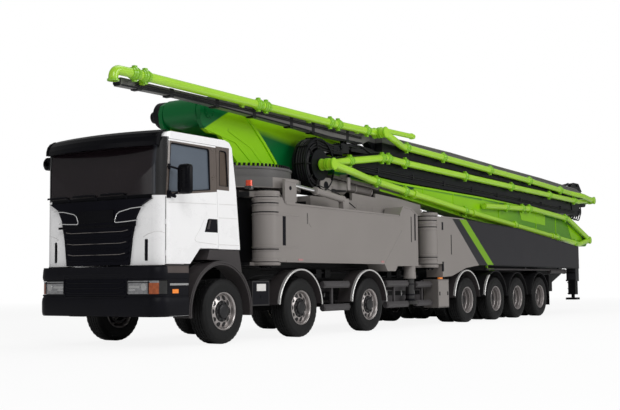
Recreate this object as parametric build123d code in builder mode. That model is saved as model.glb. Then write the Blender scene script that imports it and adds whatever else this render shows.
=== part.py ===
"""Seven-axle concrete pump truck with a five-section folding placing boom.

Units are millimetres.  +Z is up, the truck faces -Y and its left side is +X.  The origin is
on the ground under the middle of the whole vehicle.  Side views are given as (aft, height)
pairs: the distance behind the first axle and the height above the ground.
"""

import os
from collections import namedtuple
from math import cos, radians, sin

from build123d import *

os.makedirs("parts", exist_ok=True)

# ---------------------------------------------------------------- driving dimensions
FIRST_AXLE_Y = -8090            # where the first axle stands in the model's frame
HALF_WIDTH = 1250               # outer faces of tyres, fenders and outriggers
WHEEL_RADIUS = 501
TYRE_WIDTH = 310
TWIN_SPACING = 345              # between the middles of two twin tyres
OUTER_TYRE_X = HALF_WIDTH - TYRE_WIDTH / 2
KINGPIN_X = 900
KINGPIN_RADIUS = 30
STUB_RADIUS = 45

RAIL_X = (350, 430)             # each chassis rail, measured on the left side
RAIL_Z = (720, 990)

CAB_HALF_WIDTH = 1215
CAB_FRONT = -1440
CAB_CORNER_RADIUS = 190
CAB_BOW = 45                    # how far the cab's face falls back towards its corners
CAB_WALL = 55
DOOR_GAP = 6

RING_AFT = 1950                 # slewing axis
RING_RADIUS = 950
RING_TOP = 2900

FRONT_LEG_PIVOT = (1010, 1418)  # X and distance aft
REAR_LEG_PIVOT = (1030, 7266)
FRONT_BARREL_RADIUS = 235
REAR_BARREL_RADIUS = 215
LEG_INNER_X = 850

STACK_X = (480, 800)            # folded sections beside boom section 1
TONGUE_INNER_X = (480, 630)     # hinge tongue on the inner half of a section
TONGUE_OUTER_X = (645, 800)     # hinge tongue on the outer half of a section
SECTION_1_HALF_WIDTH = 350
PIPE_X = 905                    # delivery line, outside the folded sections
PIPE_RADIUS = 70
COLLAR_RADIUS = 92
COLLAR_LENGTH = 110

# hinge axes, each parallel to X, as (aft, height)
HINGE_0 = (620, 3760)           # turret to section 1
HINGE_1 = (18100, 2110)         # section 1 to section 2, at the tail
HINGE_2 = (3400, 3090)          # section 2 to section 3
HINGE_3 = (18120, 3305)         # section 3 to section 4
HINGE_4 = (5350, 3900)          # section 4 to section 5
HINGE_DISC_RADIUS = 190
HINGE_4_DISC_RADIUS = 110
BORE_CLEARANCE = 2

Axle = namedtuple("Axle", "number aft steered twin")
AXLES = [
    Axle(1, 0, True, False),
    Axle(2, 2110, True, False),
    Axle(3, 4410, True, False),
    Axle(4, 8740, False, True),
    Axle(5, 10320, False, True),
    Axle(6, 11650, False, True),
    Axle(7, 13145, False, True),
]
SIDES = (("left", 1), ("right", -1))


# ---------------------------------------------------------------- helpers
def place(aft):
    """Y of a point that lies this far behind the first axle."""
    return FIRST_AXLE_Y + aft


def side_plate(outline, near, far, mode=Mode.ADD):
    """Add a plate with a side view of (aft, height) points, from X near to X far."""
    with BuildSketch(Plane.YZ.offset(near)) as profile:
        with BuildLine():
            Polyline([(place(aft), height) for aft, height in outline], close=True)
        make_face()
    extrude(profile.sketch, amount=far - near, mode=mode)


def top_plate(outline, low, high, mode=Mode.ADD):
    """Add a plate with a plan view of (x, aft) points, from Z low to Z high."""
    with BuildSketch(Plane.XY.offset(low)) as profile:
        with BuildLine():
            Polyline([(x, place(aft)) for x, aft in outline], close=True)
        make_face()
    extrude(profile.sketch, amount=high - low, mode=mode)


def block(x, aft, z, mode=Mode.ADD):
    """Add a box from three (low, high) pairs."""
    middle = (sum(x) / 2, place(sum(aft) / 2), sum(z) / 2)
    with Locations(middle):
        Box(abs(x[1] - x[0]), aft[1] - aft[0], z[1] - z[0], mode=mode)


def both_sides(maker):
    """Run a function for the left side (+1) and for the right side (-1)."""
    for _, side in SIDES:
        maker(side)


def cross_bar(radius, x, centre, mode=Mode.ADD):
    """Add a cylinder along X from a (low, high) pair, centred on (aft, height)."""
    aft, height = centre
    with Locations(Location((sum(x) / 2, place(aft), height), (0, 90, 0))):
        Cylinder(radius, abs(x[1] - x[0]), mode=mode)


def upright_bar(radius, centre, z, mode=Mode.ADD):
    """Add a vertical cylinder centred on (x, aft), from a (low, high) pair."""
    x, aft = centre
    with Locations((x, place(aft), sum(z) / 2)):
        Cylinder(radius, z[1] - z[0], mode=mode)


def arch(centre_aft, inner, outer, low, x):
    """Add the part above Z low of a ring round a wheel, from X near to X far."""
    with BuildSketch(Plane.YZ.offset(x[0])) as ring:
        with Locations((place(centre_aft), WHEEL_RADIUS)):
            Circle(outer)
            Circle(inner, mode=Mode.SUBTRACT)
        with Locations((place(centre_aft), low - outer)):
            Rectangle(3 * outer, 2 * outer, mode=Mode.SUBTRACT)
    extrude(ring.sketch, amount=x[1] - x[0])


def pipe_run(route, bend, radius=PIPE_RADIUS):
    """Add a round bar along straight runs joined by arcs; route holds (x, aft, height)."""
    corners = [Vector(x, place(aft), height) for x, aft, height in route]
    with BuildLine() as path:
        if len(corners) > 2:
            FilletPolyline(*corners, radius=bend)
        else:
            Line(*corners)
    with BuildSketch(Plane(origin=corners[0], z_dir=corners[1] - corners[0])) as section:
        Circle(radius)
    sweep(section.sketch, path=path.wire())


def collars(start, end, distances):
    """Add pipe couplings on the straight run from start to end, at distances from start."""
    first = Vector(start[0], place(start[1]), start[2])
    last = Vector(end[0], place(end[1]), end[2])
    direction = (last - first).normalized()
    for distance in distances:
        with Locations(Plane(origin=first + direction * distance, z_dir=direction)):
            Cylinder(COLLAR_RADIUS, COLLAR_LENGTH)


def save(part, name):
    """Label a finished piece and write its STEP file."""
    part.label = name
    export_step(part, f"parts/{name}.step")


# ---------------------------------------------------------------- chassis
REAR_FRAME_AFT = 14140
CROSSMEMBER_AFTS = (-1000, 1000, 3300, 6000, 7700, 9500, 11000, 12400, 13900)

with BuildPart() as chassis_frame:
    both_sides(lambda side: block((side * RAIL_X[0], side * RAIL_X[1]),
                                  (-1200, REAR_FRAME_AFT), RAIL_Z))
    for aft in CROSSMEMBER_AFTS:
        block((-RAIL_X[0], RAIL_X[0]), (aft - 60, aft + 60), (780, 940))
    block((-1100, 1100), (-1290, -1200), (740, 900))            # front cross beam
    block((-430, 430), (REAR_FRAME_AFT, REAR_FRAME_AFT + 60), (720, 990))
save(chassis_frame.part, "chassis_frame")

BEAM_Z = (447, 531)
SPRING_HALF_LENGTH = 560

with BuildPart() as running_gear:
    for axle in AXLES:
        if axle.steered:
            block((-850, 850), (axle.aft - 50, axle.aft + 50), BEAM_Z)
            for _, side in SIDES:
                upright_bar(60, (side * KINGPIN_X, axle.aft), BEAM_Z)
                upright_bar(KINGPIN_RADIUS + 1, (side * KINGPIN_X, axle.aft), BEAM_Z,
                            mode=Mode.SUBTRACT)
        else:
            cross_bar(60, (-985, 985), (axle.aft, WHEEL_RADIUS))
            cross_bar(80, (-600, 600), (axle.aft, WHEEL_RADIUS))
            cross_bar(190, (-120, 120), (axle.aft, WHEEL_RADIUS))
        for _, side in SIDES:
            spring_x = (side * (RAIL_X[0] + 5), side * (RAIL_X[1] - 5))
            half = min(SPRING_HALF_LENGTH, 620)
            block(spring_x, (axle.aft - 60, axle.aft + 60), (BEAM_Z[1] - 5, 620))
            block(spring_x, (axle.aft - half, axle.aft + half), (580, 640))
            for end in (-half + 30, half - 30):
                block(spring_x, (axle.aft + end - 30, axle.aft + end + 30), (620, RAIL_Z[0]))
    block((-320, 320), (-920, 460), (640, 1320))                 # engine
    block((-250, 250), (460, 900), (700, 985))                  # gearbox
save(running_gear.part, "running_gear")

# ---------------------------------------------------------------- wheels
RIM_BARREL_RADIUS = 262


def wheel_plane(axle):
    """Plane through a wheel's axis, local x along X and local y outward along +Y."""
    return Plane(origin=(0, place(axle.aft), WHEEL_RADIUS), x_dir=(1, 0, 0), z_dir=(0, 0, 1))


def tyre_outline(middle):
    """Closed (x, radius) outline of one tyre on its rim barrel."""
    half = TYRE_WIDTH / 2
    right = [(half - 15, RIM_BARREL_RADIUS), (half - 15, 285), (half, 340), (half, 430),
             (half - 25, 485), (half - 55, WHEEL_RADIUS)]
    left = [(-x, radius) for x, radius in reversed(right)]
    return [(middle + x, radius) for x, radius in right + left]


def revolved(outline, side, axle, mode=Mode.ADD):
    """Add the ring that a closed (x, radius) outline makes about the wheel's axis."""
    with BuildSketch(wheel_plane(axle)) as profile:
        with BuildLine():
            Polyline([(side * x, radius) for x, radius in outline], close=True)
        make_face()
    revolve(profile.sketch, axis=Axis((0, place(axle.aft), WHEEL_RADIUS), (1, 0, 0)), mode=mode)


for axle in AXLES:
    for side_name, side in SIDES:
        with BuildPart() as wheel:
            revolved(tyre_outline(OUTER_TYRE_X), side, axle)
            centre = (axle.aft, WHEEL_RADIUS)
            if axle.twin:
                inner_x = OUTER_TYRE_X - TWIN_SPACING
                revolved(tyre_outline(inner_x), side, axle)
                revolved([(inner_x + 100, 262), (inner_x + 100, 285), (OUTER_TYRE_X - 100, 285),
                          (OUTER_TYRE_X - 100, 262)], side, axle)
                revolved([(900, 90), (925, 270), (945, 270), (935, 140), (1120, 130),
                          (1120, 0), (900, 0)], side, axle)
                cross_bar(60 + BORE_CLEARANCE, (side * 895, side * 990), centre,
                          mode=Mode.SUBTRACT)
            else:
                revolved([(1020, 0), (1020, 100), (1130, 110), (1120, 265), (1150, 265),
                          (1215, 150), (1235, 110), (1235, 0)], side, axle)
                cross_bar(STUB_RADIUS + BORE_CLEARANCE, (side * 1015, side * 1090), centre,
                          mode=Mode.SUBTRACT)
        save(wheel.part, f"wheel_{axle.number}_{side_name}")

for axle in AXLES:
    if not axle.steered:
        continue
    for side_name, side in SIDES:
        with BuildPart() as knuckle:
            upright_bar(KINGPIN_RADIUS, (side * KINGPIN_X, axle.aft), (395, 583))
            arm_x = (side * (KINGPIN_X - 40), side * 1000)
            block(arm_x, (axle.aft - 45, axle.aft + 45), (538, 583))
            block(arm_x, (axle.aft - 45, axle.aft + 45), (395, 440))
            block((side * 968, side * 1000), (axle.aft - 45, axle.aft + 45), (395, 583))
            cross_bar(STUB_RADIUS, (side * 1000, side * 1085), (axle.aft, WHEEL_RADIUS))
        save(knuckle.part, f"knuckle_{axle.number}_{side_name}")

# ---------------------------------------------------------------- cab
CAB_SIDE = [(CAB_FRONT, 1200), (CAB_FRONT, 2170), (-1350, 2980), (-1300, 3110), (-1210, 3145),
            (60, 3145), (170, 3115), (235, 3040), (340, 2390), (440, 1450), (-540, 1450),
            (-770, 1215), (-770, 1200)]
CAVITY_SIDE = [(-1370, 1560), (-1370, 2170), (-1285, 2960), (-1200, 3085), (50, 3085),
               (150, 3040), (280, 2390), (375, 1560)]
DOOR_SIDE = [(-1285, 1215), (-1285, 2190), (-1240, 3030), (-165, 3030), (-100, 1455),
             (-535, 1455), (-765, 1220)]
DOOR_OPENING = [(-1291, 1195), (-1291, 2191), (-1246, 3036), (-159, 3036), (-94, 1449),
                (-539, 1449), (-764, 1212), (-764, 1195)]
WINDOW_SIDE = [(-1245, 2245), (-1195, 2975), (-325, 2965), (-295, 2345)]
QUARTER_SIDE = [(-75, 2425), (-75, 2975), (95, 2965), (140, 2425)]
WINDSCREEN_X = 1090
WINDSCREEN_Z = (2225, 2950)
GLASS_THICKNESS = 6
DOOR_HINGE = (1200, -1275)      # X and distance aft of the doors' hinge axes
DOOR_NEAR_X = 1100              # the doors' curved front edges reach in to here
DOOR_HINGE_Z = ((1330, 1410), (1780, 1860))
DOOR_BARREL_RADIUS = 16


def cab_plan(half_width, front, corner, low, high, mode):
    """Cab body in plan: straight sides, a flat back, a bowed face and rounded front corners."""
    with BuildSketch(Plane.XY.offset(low)) as plan:
        with BuildLine():
            back = place(500)
            nose = place(front)
            shoulder = nose + CAB_BOW
            l1 = Line((half_width, back), (half_width, shoulder + corner))
            a1 = TangentArc([l1 @ 1, (half_width - corner, shoulder)], tangent=l1 % 1)
            a2 = ThreePointArc(a1 @ 1, (0, nose), (corner - half_width, shoulder))
            l3 = Line((-half_width, shoulder + corner), (-half_width, back))
            TangentArc([l3 @ 0, a2 @ 1], tangent=(0, -1))
            Line(l3 @ 1, l1 @ 0)
        make_face()
    extrude(plan.sketch, amount=high - low, mode=mode)


with BuildPart() as cab_cavity:
    side_plate(CAVITY_SIDE, -CAB_HALF_WIDTH + CAB_WALL, CAB_HALF_WIDTH - CAB_WALL)
    cab_plan(CAB_HALF_WIDTH - CAB_WALL, CAB_FRONT + CAB_WALL, CAB_CORNER_RADIUS - CAB_WALL,
             1150, 3200, Mode.INTERSECT)

with BuildPart() as cab_shell:
    side_plate(CAB_SIDE, -CAB_HALF_WIDTH, CAB_HALF_WIDTH)
    cab_plan(CAB_HALF_WIDTH, CAB_FRONT, CAB_CORNER_RADIUS, 1150, 3200, Mode.INTERSECT)
    add(cab_cavity.part, mode=Mode.SUBTRACT)
    block((-450, 450), (-1500, 600), (1150, 1480), mode=Mode.SUBTRACT)
    block((-WINDSCREEN_X, WINDSCREEN_X), (-1600, -1250), WINDSCREEN_Z, mode=Mode.SUBTRACT)
    for _, side in SIDES:
        near = side * (DOOR_NEAR_X - 5)
        far = side * (CAB_HALF_WIDTH + 50)
        side_plate(DOOR_OPENING, near, far, mode=Mode.SUBTRACT)
        side_plate(QUARTER_SIDE, near, far, mode=Mode.SUBTRACT)
        for low, high in DOOR_HINGE_Z:
            upright_bar(DOOR_BARREL_RADIUS + 7, (side * DOOR_HINGE[0], DOOR_HINGE[1]),
                        (low - 8, high + 8), mode=Mode.SUBTRACT)
save(cab_shell.part, "cab_shell")

SCREEN_BOTTOM = (-1430, WINDSCREEN_Z[0])
SCREEN_TOP = (-1348, WINDSCREEN_Z[1])
SCREEN_THICKNESS = 12


def screen_block(inset):
    """Everything behind the bowed windscreen's outer face, set back by a distance."""
    side_plate([(SCREEN_BOTTOM[0] + inset, SCREEN_BOTTOM[1]), (SCREEN_TOP[0] + inset, SCREEN_TOP[1]),
                (-1200, SCREEN_TOP[1]), (-1200, SCREEN_BOTTOM[1])], -WINDSCREEN_X, WINDSCREEN_X)
    cab_plan(CAB_HALF_WIDTH - 10, CAB_FRONT + 10 + inset, CAB_CORNER_RADIUS - 10, 2100, 3000,
             Mode.INTERSECT)


with BuildPart() as screen_hollow:
    screen_block(SCREEN_THICKNESS)

with BuildPart() as cab_glass:
    screen_block(0)
    add(screen_hollow.part, mode=Mode.SUBTRACT)
    for _, side in SIDES:
        side_plate(QUARTER_SIDE, side * 1190, side * (1190 + GLASS_THICKNESS))
save(cab_glass.part, "cab_glass")

for side_name, side in SIDES:
    with BuildPart() as door:
        side_plate(DOOR_SIDE, side * DOOR_NEAR_X, side * (CAB_HALF_WIDTH - 1))
        cab_plan(CAB_HALF_WIDTH - 1, CAB_FRONT + 1, CAB_CORNER_RADIUS - 1, 1150, 3200,
                 Mode.INTERSECT)
        cab_plan(CAB_HALF_WIDTH - CAB_WALL, CAB_FRONT + CAB_WALL, CAB_CORNER_RADIUS - CAB_WALL,
                 1150, 3200, Mode.SUBTRACT)
        side_plate(WINDOW_SIDE, side * 1050, side * 1300, mode=Mode.SUBTRACT)
        for low, high in DOOR_HINGE_Z:
            upright_bar(DOOR_BARREL_RADIUS, (side * DOOR_HINGE[0], DOOR_HINGE[1]), (low, high))
            block((side * (DOOR_HINGE[0] - 15), side * (DOOR_HINGE[0] + 4)),
                  (DOOR_HINGE[1], DOOR_HINGE[1] + 55), (low, high))
    save(door.part, f"door_{side_name}")

    with BuildPart() as door_glass:
        side_plate(WINDOW_SIDE, side * 1185, side * (1185 + GLASS_THICKNESS))
    save(door_glass.part, f"door_glass_{side_name}")

MIRROR_X = (1270, 1530)
MIRROR_Z = {"left": (2215, 2660), "right": (2745, 2960)}
MIRROR_ARM_Z = {"left": ((2180, 2225), (2600, 2640)), "right": ((2700, 2740), (2930, 2970))}

for side_name, side in SIDES:
    low, high = MIRROR_Z[side_name]
    with BuildPart() as side_mirror:
        block((side * MIRROR_X[0], side * MIRROR_X[1]), (-1190, -1060), (low, high))
        for arm_z in MIRROR_ARM_Z[side_name]:
            block((side * 1214, side * 1300), (-1190, -1150), arm_z)
        block((side * 1275, side * 1300), (-1190, -1150),
              (MIRROR_ARM_Z[side_name][0][0], MIRROR_ARM_Z[side_name][-1][1]))
    save(side_mirror.part, f"mirror_{side_name}")

SEAT_X = 560

with BuildPart() as cab_interior:
    for x in (SEAT_X, -SEAT_X):
        block((x - 240, x + 240), (-480, 0), (1640, 1900))
        side_plate([(-60, 1860), (40, 1860), (150, 2650), (60, 2650)], x - 230, x + 230)
        block((x - 140, x + 140), (-400, -60), (1560, 1645))
    side_plate([(-1365, 1700), (-1365, 2200), (-1150, 2200), (-1020, 2020), (-1060, 1700)],
               -1100, 1100)
    with Locations(Location((SEAT_X, place(-840), 2120), (35, 0, 0))):
        Torus(215, 18)
        Cylinder(45, 50)
        Box(400, 40, 20)
    with BuildSketch(Plane(origin=(SEAT_X, place(-840), 2120), z_dir=(0, -0.574, -0.819))) as post:
        Circle(30)
    extrude(post.sketch, amount=330)
    cab_plan(CAB_HALF_WIDTH - CAB_WALL - 6, CAB_FRONT + CAB_WALL + 6, CAB_CORNER_RADIUS - CAB_WALL,
             1150, 3200, Mode.INTERSECT)
save(cab_interior.part, "cab_interior")

VISOR_BOW_CENTRE = 2345          # distance aft of the axis that the visor is bowed about
VISOR_SECTION = [(-1585, 2925), (-1583, 2990), (-1560, 3060), (-1510, 3120), (-1420, 3165),
                 (-1345, 3182), (-1345, 3160), (-1425, 3140), (-1495, 3100), (-1535, 3048),
                 (-1555, 2985), (-1557, 2925)]
VISOR_END = [(-1433, 2930), (-1431, 2990), (-1410, 3060), (-1360, 3120), (-1270, 3165),
             (-1268, 3150), (-1318, 3095), (-1356, 3000), (-1378, 2930)]

with BuildPart() as sun_visor:
    with BuildSketch(Plane.YZ) as section:
        with BuildLine():
            Polyline([(place(aft), z) for aft, z in VISOR_SECTION], close=True)
        make_face()
    revolve(section.sketch, axis=Axis((0, place(VISOR_BOW_CENTRE), 0), (0, 0, 1)))
    block((-1110, 1110), (-1700, -1100), (2800, 3300), mode=Mode.INTERSECT)
    for _, side in SIDES:
        side_plate(VISOR_END, side * 1109, side * 1150)
save(sun_visor.part, "sun_visor")

GRILLE_HALF = [(0, 1205), (640, 1205), (690, 1600), (760, 1900), (850, 2060), (1000, 2140),
               (1060, 2165), (0, 2165)]

with BuildPart() as grille:
    with BuildSketch(Plane.XZ.offset(-place(CAB_FRONT + 100))) as face:
        with BuildLine():
            Polyline(GRILLE_HALF, close=True)
        make_face()
        mirror(about=Plane.YZ)
    extrude(face.sketch, amount=200)
    cab_plan(1260, CAB_FRONT - 44, 235, 1150, 3200, Mode.INTERSECT)
    cab_plan(1218, CAB_FRONT - 2, CAB_CORNER_RADIUS + 3, 1150, 3200, Mode.SUBTRACT)
save(grille.part, "grille")

BUMPER_FRONT = -1500
BUMPER_Z = (456, 1185)
LAMP_Z = (785, 975)
LAMP_INNER_X = 650
BUMPER_REAR = -838


def bumper_wall(inset, thickness, z, mode=Mode.ADD):
    """Add a U-shaped wall, inset from the bumper's outer face, open towards the back."""
    depth = 2 * (BUMPER_REAR - BUMPER_FRONT)
    with BuildSketch(Plane.XY.offset(z[0])) as plan:
        with Locations((0, place(BUMPER_FRONT + inset) + depth / 2)):
            Rectangle(2 * (1245 - inset), depth)
        fillet(plan.vertices().group_by(Axis.Y)[0], 230 - inset)
        offset(amount=-thickness, mode=Mode.SUBTRACT)
        with Locations((0, place(BUMPER_REAR) + depth / 2)):
            Rectangle(2600, depth, mode=Mode.SUBTRACT)
    extrude(plan.sketch, amount=z[1] - z[0], mode=mode)


LAMP_BACK_AFT = -1290           # the headlamps reach back to here round the corners

with BuildPart() as bumper:
    bumper_wall(0, 110, BUMPER_Z)
    for _, side in SIDES:
        block((side * (LAMP_INNER_X - 4), side * 1260), (-1520, LAMP_BACK_AFT),
              (LAMP_Z[0] - 4, LAMP_Z[1] + 4), mode=Mode.SUBTRACT)
    bumper_wall(45, 65, (LAMP_Z[0] - 10, LAMP_Z[1] + 10))
save(bumper.part, "bumper")

with BuildPart() as lamps:
    bumper_wall(6, 34, LAMP_Z)
    block((-1300, 1300), (LAMP_BACK_AFT - 4, 0), (700, 1100), mode=Mode.SUBTRACT)
    block((-LAMP_INNER_X, LAMP_INNER_X), (-1600, 0), (700, 1100), mode=Mode.SUBTRACT)
    for _, side in SIDES:
        upright_bar(55, (side * 1080, 860), (2500, 2590))         # beacon
        upright_bar(75, (side * 1080, 860), (2447, 2500))
save(lamps.part, "lamps")

# ---------------------------------------------------------------- fenders and side equipment
FRONT_ARCH_AFT = -60
STAY_TOP = 1128
GUARD_LOW = 560
# (outer radius, thickness) of the mudguards over each axle behind the first
GUARDS = {2: (645, 16), 3: (645, 16), 4: (655, 16), 5: (655, 16), 6: (618, 14), 7: (618, 14)}

with BuildPart() as fenders:
    for _, side in SIDES:
        arch(FRONT_ARCH_AFT, 705, 770, 420, (side * 935, side * HALF_WIDTH))
        block((side * 390, side * 935), (-80, -40), (1240, 1262))
        block((side * 390, side * 430), (-80, -40), (990, 1262))
    for axle in AXLES[1:]:
        outer, thickness = GUARDS[axle.number]
        inner_x = 930 if axle.steered else 590
        top = WHEEL_RADIUS + outer
        for _, side in SIDES:
            arch(axle.aft, outer - thickness, outer, GUARD_LOW, (side * inner_x, side * HALF_WIDTH))
            block((side * 430, side * inner_x), (axle.aft - 20, axle.aft + 20),
                  (top - thickness, top - 1))
save(fenders.part, "fenders")

GuardTube = namedtuple("GuardTube", "start end height outer_x")
GUARD_TUBES = [
    GuardTube(2850, 3720, 885, 1215),
    GuardTube(2850, 3720, 475, 1215),
    GuardTube(5100, 5990, 885, 1215),
    GuardTube(5100, 5990, 475, 1215),
    GuardTube(6500, 7200, 860, 1130),
    GuardTube(6500, 7200, 475, 1130),
]
BRACKET_AFTS = ((3200, 1170), (5500, 1170), (6850, 1085))
BOX_AFT = (7270, 7790)
TANK_X = (560, 940)

with BuildPart() as side_equipment:
    for _, side in SIDES:
        for tube in GUARD_TUBES:
            block((side * (tube.outer_x - 45), side * tube.outer_x), (tube.start, tube.end),
                  (tube.height - 60, tube.height + 60))
        for aft, reach in BRACKET_AFTS:
            block((side * (reach - 40), side * reach), (aft - 25, aft + 25), (415, 945))
            block((side * 430, side * (reach - 20)), (aft - 25, aft + 25), (760, 810))
        block((side * 900, side * 1245), BOX_AFT, (360, 965))
        block((side * 430, side * 900), (7480, 7540), (800, 860))
        block((side * TANK_X[0], side * TANK_X[1]), (5250, 7050), (480, 900))
        block((side * 430, side * 760), (980, 1030), (760, 820))
        block((side * 760, side * 1190), (790, 1250), (560, 960))       # battery box
save(side_equipment.part, "side_equipment")

# ---------------------------------------------------------------- outrigger frame
LUG_FRONT_Z = ((1215, 1268), (2352, 2445))
LUG_REAR_Z = ((1215, 1278), (2312, 2380))
PIVOT_PIN_RADIUS = 90

with BuildPart() as outrigger_frame:
    block((-430, 430), (920, 14190), (990, 1190))
    block((-640, 640), (1000, 2900), (1190, 2480))
    block((-640, 640), (6800, 7600), (1190, 2380))
    side_plate([(2900, 1190), (2900, 2150), (8600, 2150), (14000, 1800), (14000, 1190)],
               -560, 560)
    upright_bar(600, (0, RING_AFT), (2100, 2530))
    upright_bar(1120, (0, RING_AFT), (2520, 2700))
    for _, side in SIDES:
        for low, high in LUG_FRONT_Z:
            top_plate([(side * 600, 1080), (side * 1010, 1215), (side * 1010, 1620),
                       (side * 600, 1850)], low, high)
            upright_bar(FRONT_BARREL_RADIUS, FRONT_LEG_PIVOT if side > 0 else
                        (-FRONT_LEG_PIVOT[0], FRONT_LEG_PIVOT[1]), (low, high))
        for low, high in LUG_REAR_Z:
            top_plate([(side * 600, 6900), (side * 1030, 7080), (side * 1030, 7450),
                       (side * 600, 7470)], low, high)
            upright_bar(REAR_BARREL_RADIUS, REAR_LEG_PIVOT if side > 0 else
                        (-REAR_LEG_PIVOT[0], REAR_LEG_PIVOT[1]), (low, high))
        upright_bar(PIVOT_PIN_RADIUS, (side * FRONT_LEG_PIVOT[0], FRONT_LEG_PIVOT[1]),
                    (1268, 2352))
        upright_bar(PIVOT_PIN_RADIUS, (side * REAR_LEG_PIVOT[0], REAR_LEG_PIVOT[1]),
                    (1278, 2312))
        block((side * 560, side * 800), (520, 640), (1260, 2380))
        block((side * 380, side * 800), (520, 1010), (1150, 1260))
        side_plate([(3080, 2140), (3080, 2500), (4540, 2500), (4540, 2540), (6380, 2480),
                    (7450, 2465), (7450, 2140)], side * 360, side * 800)
        side_plate([(4540, 2400), (4540, 2645), (5400, 2612), (6380, 2590), (6380, 2400)],
                   side * 745, side * 800)
        block((side * 540, side * 820), (3000, 6500), (1300, 2160))
        block((side * 540, side * 820), (8000, 13900), (1300, 1780))
save(outrigger_frame.part, "outrigger_frame")

with BuildPart() as slewing_ring:
    upright_bar(RING_RADIUS, (0, RING_AFT), (2700, RING_TOP))
save(slewing_ring.part, "slewing_ring")

HOPPER_WALL = 22
# height, half width, front and rear of the hopper's bin
HOPPER_STATIONS = [(440, 380, 14560, 15000), (1080, 740, 14240, 16110), (1480, 780, 14230, 16270)]


def hopper_bin(inset, mode=Mode.ADD):
    """The hopper's tapering bin, inset from its outer faces."""
    for lower, upper in zip(HOPPER_STATIONS, HOPPER_STATIONS[1:]):
        faces = []
        for height, half_width, front, rear in (lower, upper):
            level = height
            if inset:
                level = height + {440: inset, 1080: 0, 1480: 1}[height]
            with BuildSketch(Plane.XY.offset(level)) as station:
                with Locations((0, place((front + rear) / 2))):
                    Rectangle(2 * (half_width - inset), rear - front - 2 * inset)
            faces.append(station.sketch)
        loft(faces, mode=mode)


with BuildPart() as hopper:
    hopper_bin(0)
    hopper_bin(HOPPER_WALL, Mode.SUBTRACT)
save(hopper.part, "hopper")

# ---------------------------------------------------------------- outriggers
FRONT_LEG_SIDE = [(1418, 1272), (1418, 2348), (1560, 2348), (1620, 2255), (5632, 2231),
                  (5764, 2418), (6104, 2396), (6400, 2268), (6400, 1238), (5517, 1232),
                  (5432, 1131), (5110, 1131), (4996, 1267)]
REAR_LEG_SIDE = [(7266, 1290), (7266, 2305), (8600, 2300), (11900, 2200), (16200, 1850),
                 (16200, 1240), (9400, 1280), (8673, 1210), (7945, 1030), (7500, 1010),
                 (7500, 1290)]
FRONT_JACK = (1120, 6240)
REAR_JACK = (1110, 16040)
FRONT_JACK_RADIUS = 88
REAR_JACK_HALF = 105
JACK_GAP = 6


def mirrored(point, side):
    """An (x, aft) point on the left or the right side."""
    return (side * point[0], point[1])


for side_name, side in SIDES:
    with BuildPart() as front_leg:
        side_plate(FRONT_LEG_SIDE, side * LEG_INNER_X, side * 1245)
        upright_bar(FRONT_BARREL_RADIUS, mirrored(FRONT_LEG_PIVOT, side), (1272, 2348))
        block((side * 1195, side * 1245), (1640, 1950), (2240, 2660))
        upright_bar(120, mirrored(FRONT_JACK, side), (980, 1300))
        upright_bar(FRONT_JACK_RADIUS + JACK_GAP, mirrored(FRONT_JACK, side), (900, 2240),
                    mode=Mode.SUBTRACT)
        upright_bar(PIVOT_PIN_RADIUS + BORE_CLEARANCE, mirrored(FRONT_LEG_PIVOT, side),
                    (1200, 2400), mode=Mode.SUBTRACT)
    save(front_leg.part, f"front_leg_{side_name}")

    with BuildPart() as front_jack:
        upright_bar(FRONT_JACK_RADIUS, mirrored(FRONT_JACK, side), (530, 2180))
        upright_bar(150, mirrored(FRONT_JACK, side), (462, 530))
    save(front_jack.part, f"front_jack_{side_name}")

    with BuildPart() as rear_leg:
        side_plate(REAR_LEG_SIDE, side * (LEG_INNER_X + 10), side * 1250)
        upright_bar(REAR_BARREL_RADIUS, mirrored(REAR_LEG_PIVOT, side), (1282, 2308))
        jack_x = side * REAR_JACK[0]
        outer = REAR_JACK_HALF + 30
        block((jack_x - outer, jack_x + outer), (REAR_JACK[1] - outer, REAR_JACK[1] + outer),
              (880, 1300))
        inner = REAR_JACK_HALF + JACK_GAP
        block((jack_x - inner, jack_x + inner), (REAR_JACK[1] - inner, REAR_JACK[1] + inner),
              (800, 1800), mode=Mode.SUBTRACT)
        upright_bar(PIVOT_PIN_RADIUS + BORE_CLEARANCE, mirrored(REAR_LEG_PIVOT, side),
                    (1200, 2400), mode=Mode.SUBTRACT)
        block((side * 1140, side * 1200), (9900, 15180), (1168, 1212))
        block((side * 1135, side * 1205), (14050, 15180), (1100, 1175))
        for aft in (9950, 12300, 14700):
            block((side * 1150, side * 1190), (aft, aft + 60), (1205, 1300))
    save(rear_leg.part, f"rear_leg_{side_name}")

    with BuildPart() as rear_jack:
        half = REAR_JACK_HALF
        block((jack_x - half, jack_x + half), (REAR_JACK[1] - half, REAR_JACK[1] + half),
              (505, 1740))
        upright_bar(48, (jack_x, REAR_JACK[1]), (415, 510))
        block((jack_x - 160, jack_x + 135), (REAR_JACK[1] - 160, REAR_JACK[1] + 160), (362, 420))
    save(rear_jack.part, f"rear_jack_{side_name}")

# ---------------------------------------------------------------- turret
CHEEK_X = (370, 450)
CHEEK_SIDE = [(1450, 2905), (2560, 2905), (2490, 3080), (2150, 3400), (1790, 3700),
              (1600, 3830), (1300, 3950), (900, 4000), (560, 3985), (420, 3900), (375, 3760),
              (395, 3600), (470, 3470), (620, 3400), (900, 3400)]
MAIN_PIN_RADIUS = 90

with BuildPart() as turret:
    upright_bar(RING_RADIUS - 90, (0, RING_AFT), (2905, 2960))
    for _, side in SIDES:
        side_plate(CHEEK_SIDE, side * CHEEK_X[0], side * CHEEK_X[1])
        block((side * 200, side * 375), (1500, 2450), (2950, 3180))
    block((-375, 375), (1500, 1650), (2950, 3250))
    cross_bar(MAIN_PIN_RADIUS, (-430, 430), HINGE_0)
save(turret.part, "turret")

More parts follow.
